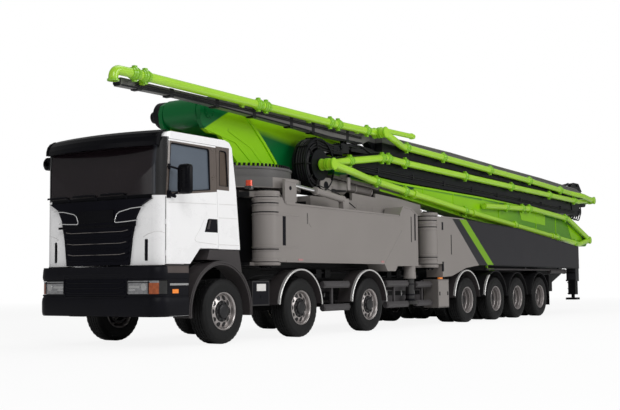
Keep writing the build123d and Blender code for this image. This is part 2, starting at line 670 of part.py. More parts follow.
# ---------------------------------------------------------------- boom sections
SECTION_1_SIDE = [(620, 4005), (1500, 3995), (3400, 3830), (4800, 3720), (17800, 2330),
                  (18100, 2285), (18100, 1935), (17700, 1935), (5200, 3050), (3650, 3160),
                  (3420, 3010), (2600, 3010), (2500, 3290), (1500, 3430), (620, 3515)]

with BuildPart() as boom_1:
    side_plate(SECTION_1_SIDE, -SECTION_1_HALF_WIDTH, SECTION_1_HALF_WIDTH)
    cross_bar(245, (-350, 350), HINGE_0)
    cross_bar(175, (-350, 350), HINGE_1)
    cross_bar(70, (300, 812), HINGE_1)
    cross_bar(MAIN_PIN_RADIUS + BORE_CLEARANCE, (-360, 360), HINGE_0, mode=Mode.SUBTRACT)
save(boom_1.part, "boom_1")

FOLD_CYLINDER_RADIUS = 95       # cylinder under section 2 that folds section 3
SECTION_2_SIDE = [(3850, 3060), (5000, 3050), (6500, 2985), (10500, 2945), (12400, 2900),
                  (15900, 2800), (16830, 2640), (18150, 2290), (18100, 1922), (17500, 1925),
                  (9600, 2400), (6500, 2690), (5200, 2800), (3850, 2890)]

with BuildPart() as boom_2:
    side_plate(SECTION_2_SIDE, *STACK_X)
    cross_bar(185, STACK_X, HINGE_1)
    side_plate([(3400, 3279), (3860, 3055), (3900, 2895), (3400, 2901)], *TONGUE_INNER_X)
    cross_bar(HINGE_DISC_RADIUS, TONGUE_INNER_X, HINGE_2)
    cross_bar(60, (480, 812), HINGE_2)
    pipe_run([(640, 3560, 2812), (640, 5450, 2725)], 0, radius=FOLD_CYLINDER_RADIUS)
    cross_bar(FOLD_CYLINDER_RADIUS + 5, (560, 720), (3560, 2812))
    cross_bar(70 + BORE_CLEARANCE, (470, 820), HINGE_1, mode=Mode.SUBTRACT)
save(boom_2.part, "boom_2")

SECTION_3_SIDE = [(3850, 3090), (5000, 3085), (6500, 3015), (10500, 2975), (12400, 2935),
                  (15900, 2835), (17450, 2820), (17450, 3290), (15100, 3340), (12500, 3390),
                  (9700, 3440), (6500, 3470), (5000, 3440), (3850, 3280)]

with BuildPart() as boom_3:
    side_plate(SECTION_3_SIDE, *STACK_X)
    side_plate([(3400, 3280), (3860, 3280), (3900, 3092), (3400, 2900)], *TONGUE_OUTER_X)
    cross_bar(HINGE_DISC_RADIUS, TONGUE_OUTER_X, HINGE_2)
    side_plate([(17440, 3290), (18120, 3493), (18300, 3305), (18000, 2830), (17440, 2822)],
               *TONGUE_INNER_X)
    cross_bar(HINGE_DISC_RADIUS, TONGUE_INNER_X, HINGE_3)
    cross_bar(60, (480, 812), HINGE_3)
    cross_bar(60 + BORE_CLEARANCE, (640, 820), HINGE_2, mode=Mode.SUBTRACT)
save(boom_3.part, "boom_3")

SECTION_4_SIDE = [(5750, 3525), (6500, 3500), (9700, 3470), (12500, 3420), (15100, 3370),
                  (17450, 3345), (17450, 3620), (16575, 3650), (14516, 3725), (11768, 3787),
                  (8899, 3870), (6512, 3900), (5750, 3890)]

with BuildPart() as boom_4:
    side_plate(SECTION_4_SIDE, *STACK_X)
    side_plate([(18120, 3494), (17440, 3620), (17440, 3345), (18120, 3116)], *TONGUE_OUTER_X)
    cross_bar(HINGE_DISC_RADIUS, TONGUE_OUTER_X, HINGE_3)
    side_plate([(5760, 3890), (5350, 4009), (5350, 3791), (5760, 3560)], *TONGUE_INNER_X)
    cross_bar(HINGE_4_DISC_RADIUS, TONGUE_INNER_X, HINGE_4)
    cross_bar(40, (480, 812), HINGE_4)
    cross_bar(60 + BORE_CLEARANCE, (640, 820), HINGE_3, mode=Mode.SUBTRACT)
save(boom_4.part, "boom_4")

SECTION_5_SIDE = [(-1800, 3770), (-800, 3785), (130, 3775), (1175, 3742), (2750, 3690),
                  (3764, 3640), (4950, 3640), (4950, 3915), (3800, 3880), (-1800, 3888)]

with BuildPart() as boom_5:
    side_plate(SECTION_5_SIDE, 660, 800)
    side_plate([(4940, 3915), (5350, 4009), (5350, 3791), (4940, 3640)], *TONGUE_OUTER_X)
    cross_bar(HINGE_4_DISC_RADIUS, TONGUE_OUTER_X, HINGE_4)
    cross_bar(40 + BORE_CLEARANCE, (640, 820), HINGE_4, mode=Mode.SUBTRACT)
save(boom_5.part, "boom_5")

# ---------------------------------------------------------------- delivery line
INNER_DRUM_X = (830, 980)
OUTER_DRUM_X = (990, 1135)
OUTER_PIPE_X = 1062
DRUM_RADIUS = 100

LINE_1_X = -530                 # the line beside section 1, outside the turret's cheek

LINE_1 = [(LINE_1_X, 620, 3760), (LINE_1_X, 2000, 3700), (LINE_1_X, 5200, 3365),
          (LINE_1_X, 17000, 2200), (LINE_1_X, 18100, 2110)]
LINE_2_LOWER = [(OUTER_PIPE_X, 3400, 3090), (OUTER_PIPE_X, 4100, 3010), (PIPE_X, 5000, 2945),
                (PIPE_X, 9420, 2543), (PIPE_X, 17250, 1965), (PIPE_X, 18100, 2110)]
LINE_2_UPPER = [(PIPE_X, 10500, 2720), (PIPE_X, 13600, 2815), (PIPE_X, 16370, 2673),
                (PIPE_X, 17980, 2190)]
LINE_3 = [(PIPE_X, 3400, 3090), (PIPE_X, 4120, 3215), (PIPE_X, 5670, 3430),
          (PIPE_X, 6520, 3400), (PIPE_X, 12260, 3310), (PIPE_X, 17300, 3232),
          (PIPE_X, 18120, 3305)]
LINE_4 = [(OUTER_PIPE_X, 5350, 3900), (OUTER_PIPE_X, 5750, 3800), (PIPE_X, 6400, 3738),
          (PIPE_X, 13500, 3558), (PIPE_X, 16500, 3438), (OUTER_PIPE_X, 17300, 3385),
          (OUTER_PIPE_X, 18120, 3305)]
LINE_5 = [(PIPE_X, -2060, 3780), (PIPE_X, -2060, 3952), (PIPE_X, -1700, 3955),
          (PIPE_X, 3800, 3890), (PIPE_X, 5350, 3900)]
# (aft, low, high) of the brackets that hold each line on its section
CLIPS_1 = ((3600, 3495, 3565), (7500, 3110, 3180), (11500, 2710, 2780), (15500, 2320, 2390))
CLIPS_2 = ((6900, 2760, 2830), (9600, 2480, 2560), (12400, 2260, 2350), (15200, 2080, 2160),
           (17000, 1960, 2020), (10900, 2690, 2770), (13500, 2770, 2850), (16200, 2640, 2720))
CLIPS_3 = ((4500, 3230, 3300), (6900, 3360, 3430), (9500, 3320, 3400), (12300, 3270, 3350),
           (15000, 3230, 3310), (17000, 3200, 3270))
CLIPS_4 = ((6900, 3690, 3760), (9500, 3620, 3700), (12300, 3550, 3630), (15000, 3460, 3540))
CLIPS_5 = ((-1400, 3830, 3900), (1000, 3830, 3900), (3000, 3820, 3880), (4700, 3820, 3880))


def clips(table, x):
    """Add the brackets between a section's side and its line."""
    for aft, low, high in table:
        block(x, (aft - 40, aft + 40), (low, high))


with BuildPart() as boom_pipe_1:
    pipe_run(LINE_1, 400)
    cross_bar(DRUM_RADIUS, (-610, -460), HINGE_0)
    cross_bar(DRUM_RADIUS, (-610, -355), HINGE_1)
    clips(CLIPS_1, (-470, -350))
save(boom_pipe_1.part, "boom_pipe_1")

with BuildPart() as boom_pipe_2:
    pipe_run(LINE_2_LOWER, 300)
    pipe_run(LINE_2_UPPER, 500)
    cross_bar(DRUM_RADIUS, OUTER_DRUM_X, HINGE_2)
    cross_bar(DRUM_RADIUS, INNER_DRUM_X, HINGE_1)
    collars(LINE_2_LOWER[3], LINE_2_LOWER[4], (400, 2900, 5600))
    collars(LINE_2_LOWER[2], LINE_2_LOWER[3], (1900,))
    clips(CLIPS_2, (800, 860))
save(boom_pipe_2.part, "boom_pipe_2")

with BuildPart() as boom_pipe_3:
    pipe_run(LINE_3, 250)
    cross_bar(DRUM_RADIUS, INNER_DRUM_X, HINGE_2)
    cross_bar(DRUM_RADIUS, INNER_DRUM_X, HINGE_3)
    clips(CLIPS_3, (800, 860))
save(boom_pipe_3.part, "boom_pipe_3")

with BuildPart() as boom_pipe_4:
    pipe_run(LINE_4, 200)
    cross_bar(DRUM_RADIUS, OUTER_DRUM_X, HINGE_4)
    cross_bar(DRUM_RADIUS, OUTER_DRUM_X, HINGE_3)
    clips(CLIPS_4, (800, 860))
save(boom_pipe_4.part, "boom_pipe_4")

OUTLET_BORE_RADIUS = 62.5

with BuildPart() as boom_pipe_5:
    pipe_run(LINE_5, 120)
    cross_bar(DRUM_RADIUS, INNER_DRUM_X, HINGE_4)
    clips(CLIPS_5, (800, 860))
    upright_bar(OUTLET_BORE_RADIUS, (PIPE_X, -2060), (3770, 3880), mode=Mode.SUBTRACT)
save(boom_pipe_5.part, "boom_pipe_5")
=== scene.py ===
"""Looks of the seven-axle concrete pump truck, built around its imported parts.

Every length is in metres and every place is in the parts' own frame: +Z is up, the truck faces
-Y and its left side is +X.  Side views are given as (aft, height): the distance behind the first
axle and the height above the ground.
"""

import logging
import math
from collections.abc import Callable, Iterable, Sequence
from dataclasses import dataclass, field, replace
from enum import Enum

import bmesh
import bpy
from mathutils import Matrix, Vector

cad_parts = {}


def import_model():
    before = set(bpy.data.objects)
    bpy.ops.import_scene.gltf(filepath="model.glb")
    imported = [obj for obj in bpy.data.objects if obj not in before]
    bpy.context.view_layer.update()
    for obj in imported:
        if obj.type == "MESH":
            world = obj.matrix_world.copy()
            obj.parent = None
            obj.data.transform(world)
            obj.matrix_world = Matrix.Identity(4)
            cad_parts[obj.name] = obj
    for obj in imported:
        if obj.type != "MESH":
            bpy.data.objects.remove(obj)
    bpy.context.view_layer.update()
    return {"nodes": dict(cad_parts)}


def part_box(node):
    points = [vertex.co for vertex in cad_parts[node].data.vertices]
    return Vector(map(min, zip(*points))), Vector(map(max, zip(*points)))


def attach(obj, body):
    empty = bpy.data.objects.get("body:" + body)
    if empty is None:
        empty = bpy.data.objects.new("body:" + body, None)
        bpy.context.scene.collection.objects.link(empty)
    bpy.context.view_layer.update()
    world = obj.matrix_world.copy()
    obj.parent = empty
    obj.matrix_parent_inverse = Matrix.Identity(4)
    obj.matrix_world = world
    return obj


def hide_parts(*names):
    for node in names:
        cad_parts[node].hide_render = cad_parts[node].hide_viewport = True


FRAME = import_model()
LOG = logging.getLogger("pump_truck")

Colour = tuple[float, float, float]
Point = tuple[float, float, float]
Pair = tuple[float, float]
Outline = tuple[Pair, ...]


def middle(node: str) -> Vector:
    """Middle of a CAD node's box."""
    low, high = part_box(node)
    return (Vector(low) + Vector(high)) / 2


FIRST_AXLE_Y = middle("wheel_1_left").y
WHEEL_RADIUS = middle("wheel_1_left").z
LEFT, RIGHT = 1, -1
SIDES = (("left", LEFT), ("right", RIGHT))
ACROSS, ALONG, UP = Vector((1, 0, 0)), Vector((0, 1, 0)), Vector((0, 0, 1))
HARD_ANGLE = math.radians(38)    # edges sharper than this stay crisp
FRONT_PIVOT, REAR_PIVOT = (1.01, 1.418), (1.03, 7.266)    # (X, aft) of the outriggers
MAIN_PIN, TAIL_PIN = (0.62, 3.76), (18.1, 2.11)    # (aft, height) of section 1's pins


def at(x: float, aft: float, height: float) -> Vector:
    """A point given by its distance to the left, behind the first axle and above the ground."""
    return Vector((x, FIRST_AXLE_Y + aft, height))


# ---- shader arithmetic
class Signal:
    """A shader value that Python arithmetic can be done on."""

    def __init__(self, graph: "Graph", source: "bpy.types.NodeSocket | float") -> None:
        """Hold a socket or a number of one material."""
        self.graph = graph
        self.source = source

    def __add__(self, other: "Signal | float") -> "Signal":
        """This value plus another."""
        return self.graph.math("ADD", self, other)

    __radd__ = __add__

    def __mul__(self, other: "Signal | float") -> "Signal":
        """This value times another."""
        return self.graph.math("MULTIPLY", self, other)

    __rmul__ = __mul__

    def __sub__(self, other: "Signal | float") -> "Signal":
        """This value less another."""
        return self.graph.math("SUBTRACT", self, other)

    def __rsub__(self, other: float) -> "Signal":
        """A number less this value."""
        return self.graph.math("SUBTRACT", other, self)

    def __truediv__(self, other: "Signal | float") -> "Signal":
        """This value over another."""
        return self.graph.math("DIVIDE", self, other)

    def clamped(self) -> "Signal":
        """The value held between 0 and 1."""
        return self.graph.math("MAXIMUM", self.graph.math("MINIMUM", self, 1.0), 0.0)

    def beyond(self, edge: float, blend: float) -> "Signal":
        """1 where the value passes an edge and 0 before it, with a short blend.

        Args:
            edge: the value at the middle of the step.
            blend: how wide the step is.

        Returns:
            The mask.
        """
        return ((self - edge) / blend + 0.5).clamped()


class Graph:
    """The nodes of one material."""

    def __init__(self, name: str) -> None:
        """Start an empty material."""
        self.material = bpy.data.materials.new(name)
        self.material.use_nodes = True
        self.tree = self.material.node_tree
        self.tree.nodes.clear()

    def node(self, kind: str, settings: dict[str, object] | None = None,
            sockets: dict[str | int, object] | None = None) -> bpy.types.Node:
        """Add a node.

        Args:
            kind: the node's Blender type.
            settings: attributes that are set first.
            sockets: values or links of its inputs, by name or by number.

        Returns:
            The node.
        """
        made = self.tree.nodes.new(kind)
        for key, value in (settings or {}).items():
            setattr(made, key, value)
        for key, value in (sockets or {}).items():
            socket = made.inputs[key]
            source = value.source if isinstance(value, Signal) else value
            if isinstance(source, bpy.types.NodeSocket):
                self.tree.links.new(source, socket)
            else:
                socket.default_value = source
        return made

    def math(self, operation: str, first: "Signal | float", second: "Signal | float") -> Signal:
        """A Math node on two values."""
        made = self.node("ShaderNodeMath", {"operation": operation}, {0: first, 1: second})
        return Signal(self, made.outputs[0])

    def place(self) -> bpy.types.NodeSocket:
        """Coordinates on the piece, in metres, that move with it."""
        return self.node("ShaderNodeTexCoord").outputs["Object"]

    def noise(self, scale: float, detail: float = 3.0) -> Signal:
        """Noise from 0 to 1 over the piece.

        Args:
            scale: how fine it is, per metre.
            detail: how many finer layers it has.

        Returns:
            The noise.
        """
        made = self.node("ShaderNodeTexNoise", {}, {"Vector": self.place(), "Scale": scale,
            "Detail": detail})
        return Signal(self, made.outputs["Fac"])

    def blend(self, mask: Signal, below: object, above: object) -> bpy.types.NodeSocket:
        """A colour that runs from one to another with a mask.

        Args:
            mask: 0 for the first colour and 1 for the second.
            below: the first colour, as a value or a socket.
            above: the second one.

        Returns:
            The mixed colour's socket.
        """
        low, high = ((*c, 1.0) if isinstance(c, tuple) else c for c in (below, above))
        made = self.node("ShaderNodeMix", {"data_type": "RGBA"}, {0: mask, 6: low, 7: high})
        return made.outputs[2]

    def finish(self, shader: bpy.types.Node) -> bpy.types.Material:
        """Connect the shader to the output."""
        self.node("ShaderNodeOutputMaterial", {}, {"Surface": shader.outputs[0]})
        return self.material


# ---- finishes
@dataclass(frozen=True)
class Plane:
    """Where x*X + y*Y + z*Z is over a limit, in the parts' frame."""

    x: float
    y: float
    z: float
    limit: float

    def mask(self, graph: Graph, blend: float) -> Signal:
        """1 on the plane's far side.

        Args:
            graph: the material that gets the nodes.
            blend: how wide the edge is.

        Returns:
            The mask.
        """
        dot = graph.node("ShaderNodeVectorMath", {"operation": "DOT_PRODUCT"},
            {0: graph.place(), 1: (self.x, self.y, self.z)})
        return Signal(graph, dot.outputs["Value"]).beyond(self.limit, blend)


def behind(aft: float) -> Plane:
    """The half of the truck behind a station."""
    return Plane(0, 1, 0, FIRST_AXLE_Y + aft)


def before(aft: float) -> Plane:
    """The half of the truck ahead of a station."""
    return Plane(0, -1, 0, -(FIRST_AXLE_Y + aft))


def above(height: float) -> Plane:
    """What is over a height."""
    return Plane(0, 0, 1, height)


def below(height: float) -> Plane:
    """What is under a height."""
    return Plane(0, 0, -1, -height)


def over_line(first: Pair, last: Pair) -> Plane:
    """What is over a line in side view, given from front to back.

    Args:
        first: (aft, height) of the line's front end.
        last: (aft, height) of its rear end.

    Returns:
        The plane whose far side is over the line.
    """
    run, rise = last[0] - first[0], last[1] - first[1]
    length = math.hypot(run, rise)
    y, z = -rise / length, run / length
    return Plane(0, y, z, y * (FIRST_AXLE_Y + first[0]) + z * first[1])


def under_line(first: Pair, last: Pair) -> Plane:
    """What is under a line in side view, given from front to back."""
    plane = over_line(first, last)
    return Plane(0, -plane.y, -plane.z, -plane.limit)


@dataclass(frozen=True)
class Zone:
    """A part of a piece that has another colour."""

    colour: Colour
    planes: tuple[Plane, ...]
    blend: float = 0.004


@dataclass(frozen=True)
class Finish:
    """A painted, moulded or metal surface."""

    name: str
    colour: Colour
    roughness: float = 0.35
    metallic: float = 0.0
    coat: float = 0.0
    specular: float = 0.5
    variation: float = 0.08
    scale: float = 3.0
    bump: float = 0.0
    grain: float = 60.0
    alpha: float = 1.0
    glow: float = 0.0
    zones: tuple[Zone, ...] = ()
    slot: str = "black_plastic"

    def build(self) -> bpy.types.Material:
        """Make the material: a colour that varies a little, its zones and a fine grain.

        Returns:
            The material.
        """
        graph = Graph(self.name)
        wide = graph.noise(self.scale)
        fine = graph.noise(self.grain, 2.0)
        mix = wide * 0.75 + fine * 0.25
        colour = self.tinted(graph, self.colour, mix)
        for zone in self.zones:
            mask: Signal | None = None
            for plane in zone.planes:
                part = plane.mask(graph, zone.blend)
                mask = part if mask is None else mask * part
            colour = graph.blend(mask, colour, self.tinted(graph, zone.colour, mix))
        rough = (mix - 0.5) * (0.35 * self.roughness) + self.roughness
        sockets: dict[str | int, object] = {"Base Color": colour, "Metallic": self.metallic,
            "Roughness": rough.clamped(), "Coat Weight": self.coat, "Coat Roughness": 0.08,
            "Alpha": self.alpha, "Specular IOR Level": self.specular}
        if self.glow:
            sockets["Emission Color"] = colour
            sockets["Emission Strength"] = self.glow
        if self.bump:
            bump = graph.node("ShaderNodeBump", {}, {"Strength": self.bump, "Distance": 0.002,
                "Height": fine})
            sockets["Normal"] = bump.outputs[0]
        return graph.finish(graph.node("ShaderNodeBsdfPrincipled", {}, sockets))

    def tinted(self, graph: Graph, colour: Colour, mix: Signal) -> bpy.types.NodeSocket:
        """The colour, darker and lighter by the finish's variation.

        Args:
            graph: the material that gets the nodes.
            colour: its middle tone.
            mix: the noise that it follows.

        Returns:
            The colour's socket.
        """
        low = tuple(c * (1 - self.variation) for c in colour)
        high = tuple(min(1.0, c * (1 + self.variation)) for c in colour)
        return graph.blend(mix.beyond(0.5, 0.5), low, high)


class Palette:
    """Makes each finish once and hands out its material."""

    def __init__(self) -> None:
        """Start with no material."""
        self.made: dict[str, bpy.types.Material] = {}

    def __call__(self, finish: Finish) -> bpy.types.Material:
        """The material of a finish.

        Args:
            finish: the finish.

        Returns:
            Its material, made at its first use.
        """
        if finish.name not in self.made:
            self.made[finish.name] = finish.build()
        return self.made[finish.name]


PALETTE = Palette()

WHITE = (0.92, 0.915, 0.92)
GREY = (0.238, 0.218, 0.206)
LIME = (0.245, 0.535, 0.002)
LIME_PIPE = (0.35, 0.64, 0.022)
DEEP_GREEN = (0.001, 0.115, 0.026)
NEAR_BLACK = (0.006, 0.006, 0.007)
FRAME_BROWN = (0.1, 0.078, 0.066)

PILLARS = (Zone(NEAR_BLACK, (before(-1.235), above(2.205), below(3.06))),
    Zone(FRAME_BROWN, (behind(-0.17), before(0.165), above(2.36), below(3.03))))
CAB_PAINT = Finish("cab_paint", WHITE, 0.28, slot="cab_white", coat=0.6, variation=0.015,
    zones=PILLARS)
DOOR_PAINT = replace(CAB_PAINT, name="door_paint", zones=(
    Zone(FRAME_BROWN, (over_line((-1.33, 2.2), (-0.1, 2.33)), below(3.005))),))
TRIM = Finish("black_trim", (0.0045, 0.0045, 0.007), 0.42, specular=0.1, variation=0.2, bump=0.15,
    grain=300)
SILL_TINT = Zone((0.085, 0.07, 0.066), (behind(-1.3), above(1.085)))
BUMPER_TRIM = replace(TRIM, name="bumper_plastic", roughness=0.4, zones=(SILL_TINT,))
# Painted shade: a darker grey for the thin crease lines on the white panels, standing for the
# shadow of each crease.
PAINTED_CREASE_SHADE = Finish("painted_crease_shade", (0.68, 0.665, 0.66), 0.4, slot="cab_white", variation=0.03)
VISOR = Finish("visor_plastic", (0.0035, 0.0035, 0.005), 0.28, specular=0.08, variation=0.15,
    grain=90)
GRILLE_TRIM = Finish("grille_trim", (0.003, 0.003, 0.006), 0.34, specular=0.07, variation=0.2)
FENDER_TRIM = Finish("fender_plastic", (0.036, 0.031, 0.032), 0.5, slot="chassis_black",
    specular=0.35, variation=0.12, bump=0.2, grain=350)
FENDER_PAINT = replace(FENDER_TRIM, name="fender_paint", zones=(
    Zone((0.007, 0.007, 0.008), (behind(9.4),)),))
WINDSCREEN = Finish("windscreen_glass", (0.012, 0.008, 0.01), 0.1, coat=0.15, specular=0.35,
    alpha=0.92, variation=0.4, scale=0.8, zones=(
    # Painted reflection: the windscreen's left end is a lighter blue grey.
    Zone((0.045, 0.051, 0.062), (Plane(1, 0, 0, 1.045), before(-1.2)), 0.09),
    Zone((0.112, 0.084, 0.066), (behind(-0.3),))))
SIDE_GLASS = Finish("side_glass", (0.11, 0.135, 0.17), 0.08, coat=0.8, alpha=0.92, variation=0.12,
    scale=1.2)
STEEL_GREY = Finish("body_grey_paint", GREY, 0.42, slot="body_grey", specular=0.35, variation=0.04,
    scale=1.4)
REAR_LEG_PAINT = replace(STEEL_GREY, name="rear_leg_paint", roughness=0.4, specular=0.3, zones=(
    Zone((0.016, 0.0155, 0.019), (over_line((8.0, 2.3), (9.37, 1.283)),)),
    Zone((0.17, 0.36, 0.01), (over_line((8.36, 2.3), (9.87, 1.28)),
        under_line((8.72, 2.3), (10.22, 1.28))))))
FRAME_PAINT = replace(STEEL_GREY, name="outrigger_frame_paint", specular=0.25, zones=(
    Zone(NEAR_BLACK, (before(1.165), below(2.512))),
    Zone(NEAR_BLACK, (Plane(-1, 0, 0, -0.7), Plane(1, 0, 0, -0.7), below(2.4))),
    # Painted shade: the darker grey zone on the pedestal under the turret stands for its shadow.
    Zone((0.112, 0.108, 0.106), (Plane(-1, 0, 0, -1.05), above(2.53), Plane(1, 0, 0, -1.05),
        before(3.1))), Zone(NEAR_BLACK, (below(1.206),))))
SIDE_PAINT = Finish("side_equipment_paint", (0.122, 0.112, 0.106), 0.45, slot="chassis_black",
    specular=0.35, variation=0.05, scale=1.4, zones=(Zone((0.052, 0.048, 0.05), (before(7.24),)),
    Zone((0.022, 0.021, 0.022), (before(1.3),))))
# Painted shade: the slewing ring and its bands get a darker copy of the body grey, for the shadow
# under the turret.
SHADED_RING_PAINT = Finish("ring_painted_shade", (0.112, 0.108, 0.106), 0.45, slot="body_grey", specular=0.3,
    variation=0.05, scale=1.4)
DARK_FRAME = Finish("chassis_paint", (0.0045, 0.0045, 0.005), 0.5, slot="chassis_black",
    specular=0.15, variation=0.25, bump=0.1)
BOOM_LIME = Finish("boom_lime_paint", LIME, 0.3, slot="boom_green", coat=0.08, specular=0.25,
    variation=0.06, scale=1.1)
TURRET_PAINT = replace(BOOM_LIME, name="turret_paint", specular=0.22, zones=(
    Zone(DEEP_GREEN, (over_line((0.38, 3.4), (1.27, 3.885)),), 0.02),))
BOOM_1_PAINT = replace(TURRET_PAINT, name="boom_1_paint", zones=(
    # Painted shade: the nose and the lower part of section 1 are deep green, standing for shade
    # under its lime top.
    Zone(DEEP_GREEN, (before(1.25),), 0.1),
    Zone(DEEP_GREEN, (under_line((0.5, 3.76), (5.2, 3.28)), before(5.2)), 0.12),
    Zone(DEEP_GREEN, (under_line((5.2, 3.28), (17.8, 2.05)), behind(5.2)), 0.12)))
BOOM_2_PAINT = replace(BOOM_LIME, name="boom_2_paint", zones=(
    # Painted shade: the lime darkens towards the rear, and the dark and deep green bands along the
    # upper part stand for shade; the grey zone is the nose's own colour.
    Zone((0.09, 0.27, 0.006), (behind(12.0),), 2.4),
    Zone((0.006, 0.045, 0.012), (before(7.1), over_line((3.4, 2.97), (6.45, 2.8))), 0.06),
    Zone(DEEP_GREEN, (over_line((3.8, 2.99), (10.5, 2.87)), before(10.6)), 0.05),
    Zone(DEEP_GREEN, (over_line((10.5, 2.9), (16.8, 2.6)),), 0.06),
    Zone((0.135, 0.122, 0.115), (before(6.45), under_line((3.4, 2.97), (6.45, 2.8))), 0.01)))
BOOM_DARK = Finish("boom_dark_paint", (0.006, 0.007, 0.008), 0.32, slot="boom_dark", specular=0.14,
    variation=0.2, scale=1.1)
BOOM_4_PAINT = Finish("boom_4_paint", (0.007, 0.007, 0.009), 0.32, specular=0.15, variation=0.15,
    scale=1.1, zones=(
    Zone((0.115, 0.112, 0.112), (over_line((5.75, 3.76), (17.45, 3.505)),), 0.01),))
BOOM_5_PAINT = Finish("boom_5_paint", (0.12, 0.115, 0.112), 0.36, specular=0.3, variation=0.12,
    scale=1.1)
BOOM_4_EDGE = Finish("boom_4_edge_paint", (0.125, 0.12, 0.12), 0.36, slot="boom_dark", scale=1.5)
PIPE_PAINT = Finish("pipe_paint", LIME_PIPE, 0.3, slot="pipe_green", coat=0.3, variation=0.07,
    scale=2.0)
CLAMP_PAINT = Finish("clamp_paint", (0.22, 0.5, 0.008), 0.34, slot="pipe_green", coat=0.3,
    variation=0.12, scale=6)
HOSE = Finish("hose_rubber", (0.007, 0.007, 0.008), 0.5, specular=0.25, variation=0.3, bump=0.2,
    grain=200)
TYRE = Finish("tyre_rubber", (0.0045, 0.0046, 0.0048), 0.55, slot="tyre_rubber", specular=0.22,
    variation=0.25, scale=8, bump=0.3, grain=180)
RIM = Finish("rim_steel", (0.42, 0.39, 0.38), 0.3, slot="bright_metal", metallic=0.75,
    variation=0.08, scale=9)
RIM_BARREL = replace(RIM, name="rim_barrel", colour=(0.3, 0.275, 0.27), roughness=0.34,
    metallic=0.45)
RIM_REAR = replace(RIM_BARREL, name="rear_rim_paint", colour=(0.12, 0.11, 0.107))
# Black hub paint; the hand holes use it too, as painted shade.
HUB_PAINT_AND_HOLE_SHADE = Finish("hub_paint_and_hole_shade", (0.01, 0.01, 0.011), 0.42, slot="chassis_black", metallic=0.3,
    variation=0.2, scale=12)
NUT_STEEL = Finish("nut_steel", (0.06, 0.058, 0.058), 0.35, slot="bright_metal", metallic=0.6,
    variation=0.1, scale=12)
CHROME = Finish("bright_metal", (0.78, 0.78, 0.78), 0.16, slot="bright_metal", metallic=1.0,
    variation=0.05, scale=12)
JACK_PAINT = Finish("jack_paint", (0.03, 0.029, 0.029), 0.32, metallic=0.3, variation=0.1, scale=6)
JACK_TUBE = Finish("jack_tube", (0.5, 0.5, 0.5), 0.3, slot="bright_metal", metallic=0.6,
    variation=0.08, scale=6)
GUARD_LIP = Finish("guard_lip", (0.66, 0.65, 0.64), 0.24, slot="bright_metal", metallic=0.5,
    variation=0.04, scale=6)
AMBER = Finish("amber_lens", (0.9, 0.25, 0.03), 0.12, slot="lamp_lens", coat=1.0, variation=0.08,
    scale=30, glow=0.15)
RED_LENS = Finish("red_lens", (0.55, 0.02, 0.015), 0.12, slot="lamp_lens", coat=1.0, scale=30)
WHITE_PLATE = Finish("white_plate", (0.72, 0.7, 0.68), 0.4, slot="cab_white", variation=0.03,
    scale=9)
PINK_REFLECTOR = Finish("side_reflector", (0.45, 0.22, 0.22), 0.25, slot="lamp_lens", coat=0.8,
    variation=0.05)
LAMP_GLASS = Finish("lamp_glass", (0.3, 0.3, 0.31), 0.14, metallic=0.4, coat=1.0, variation=0.35,
    scale=26, zones=(*(Zone((0.42, 0.1, 0.03), (Plane(side, 0, 0, 1.06), below(0.945)), 0.01)
    for side in (LEFT, RIGHT)), *(
    Zone((0.03, 0.03, 0.03), (Plane(side, 0, 0, 1.185), below(1.5)), 0.01)
    for side in (LEFT, RIGHT)), Zone((0.03, 0.03, 0.03), (above(2.3),)),
    Zone((0.85, 0.07, 0.02), (above(2.498),))))
SEAT = Finish("seat_cloth", (0.03, 0.028, 0.03), 0.85, slot="seat_fabric", variation=0.2, scale=20,
    bump=0.4, grain=400)
CAB_TRIM = Finish("cab_trim", (0.035, 0.029, 0.029), 0.6, slot="seat_fabric", variation=0.15,
    scale=12)


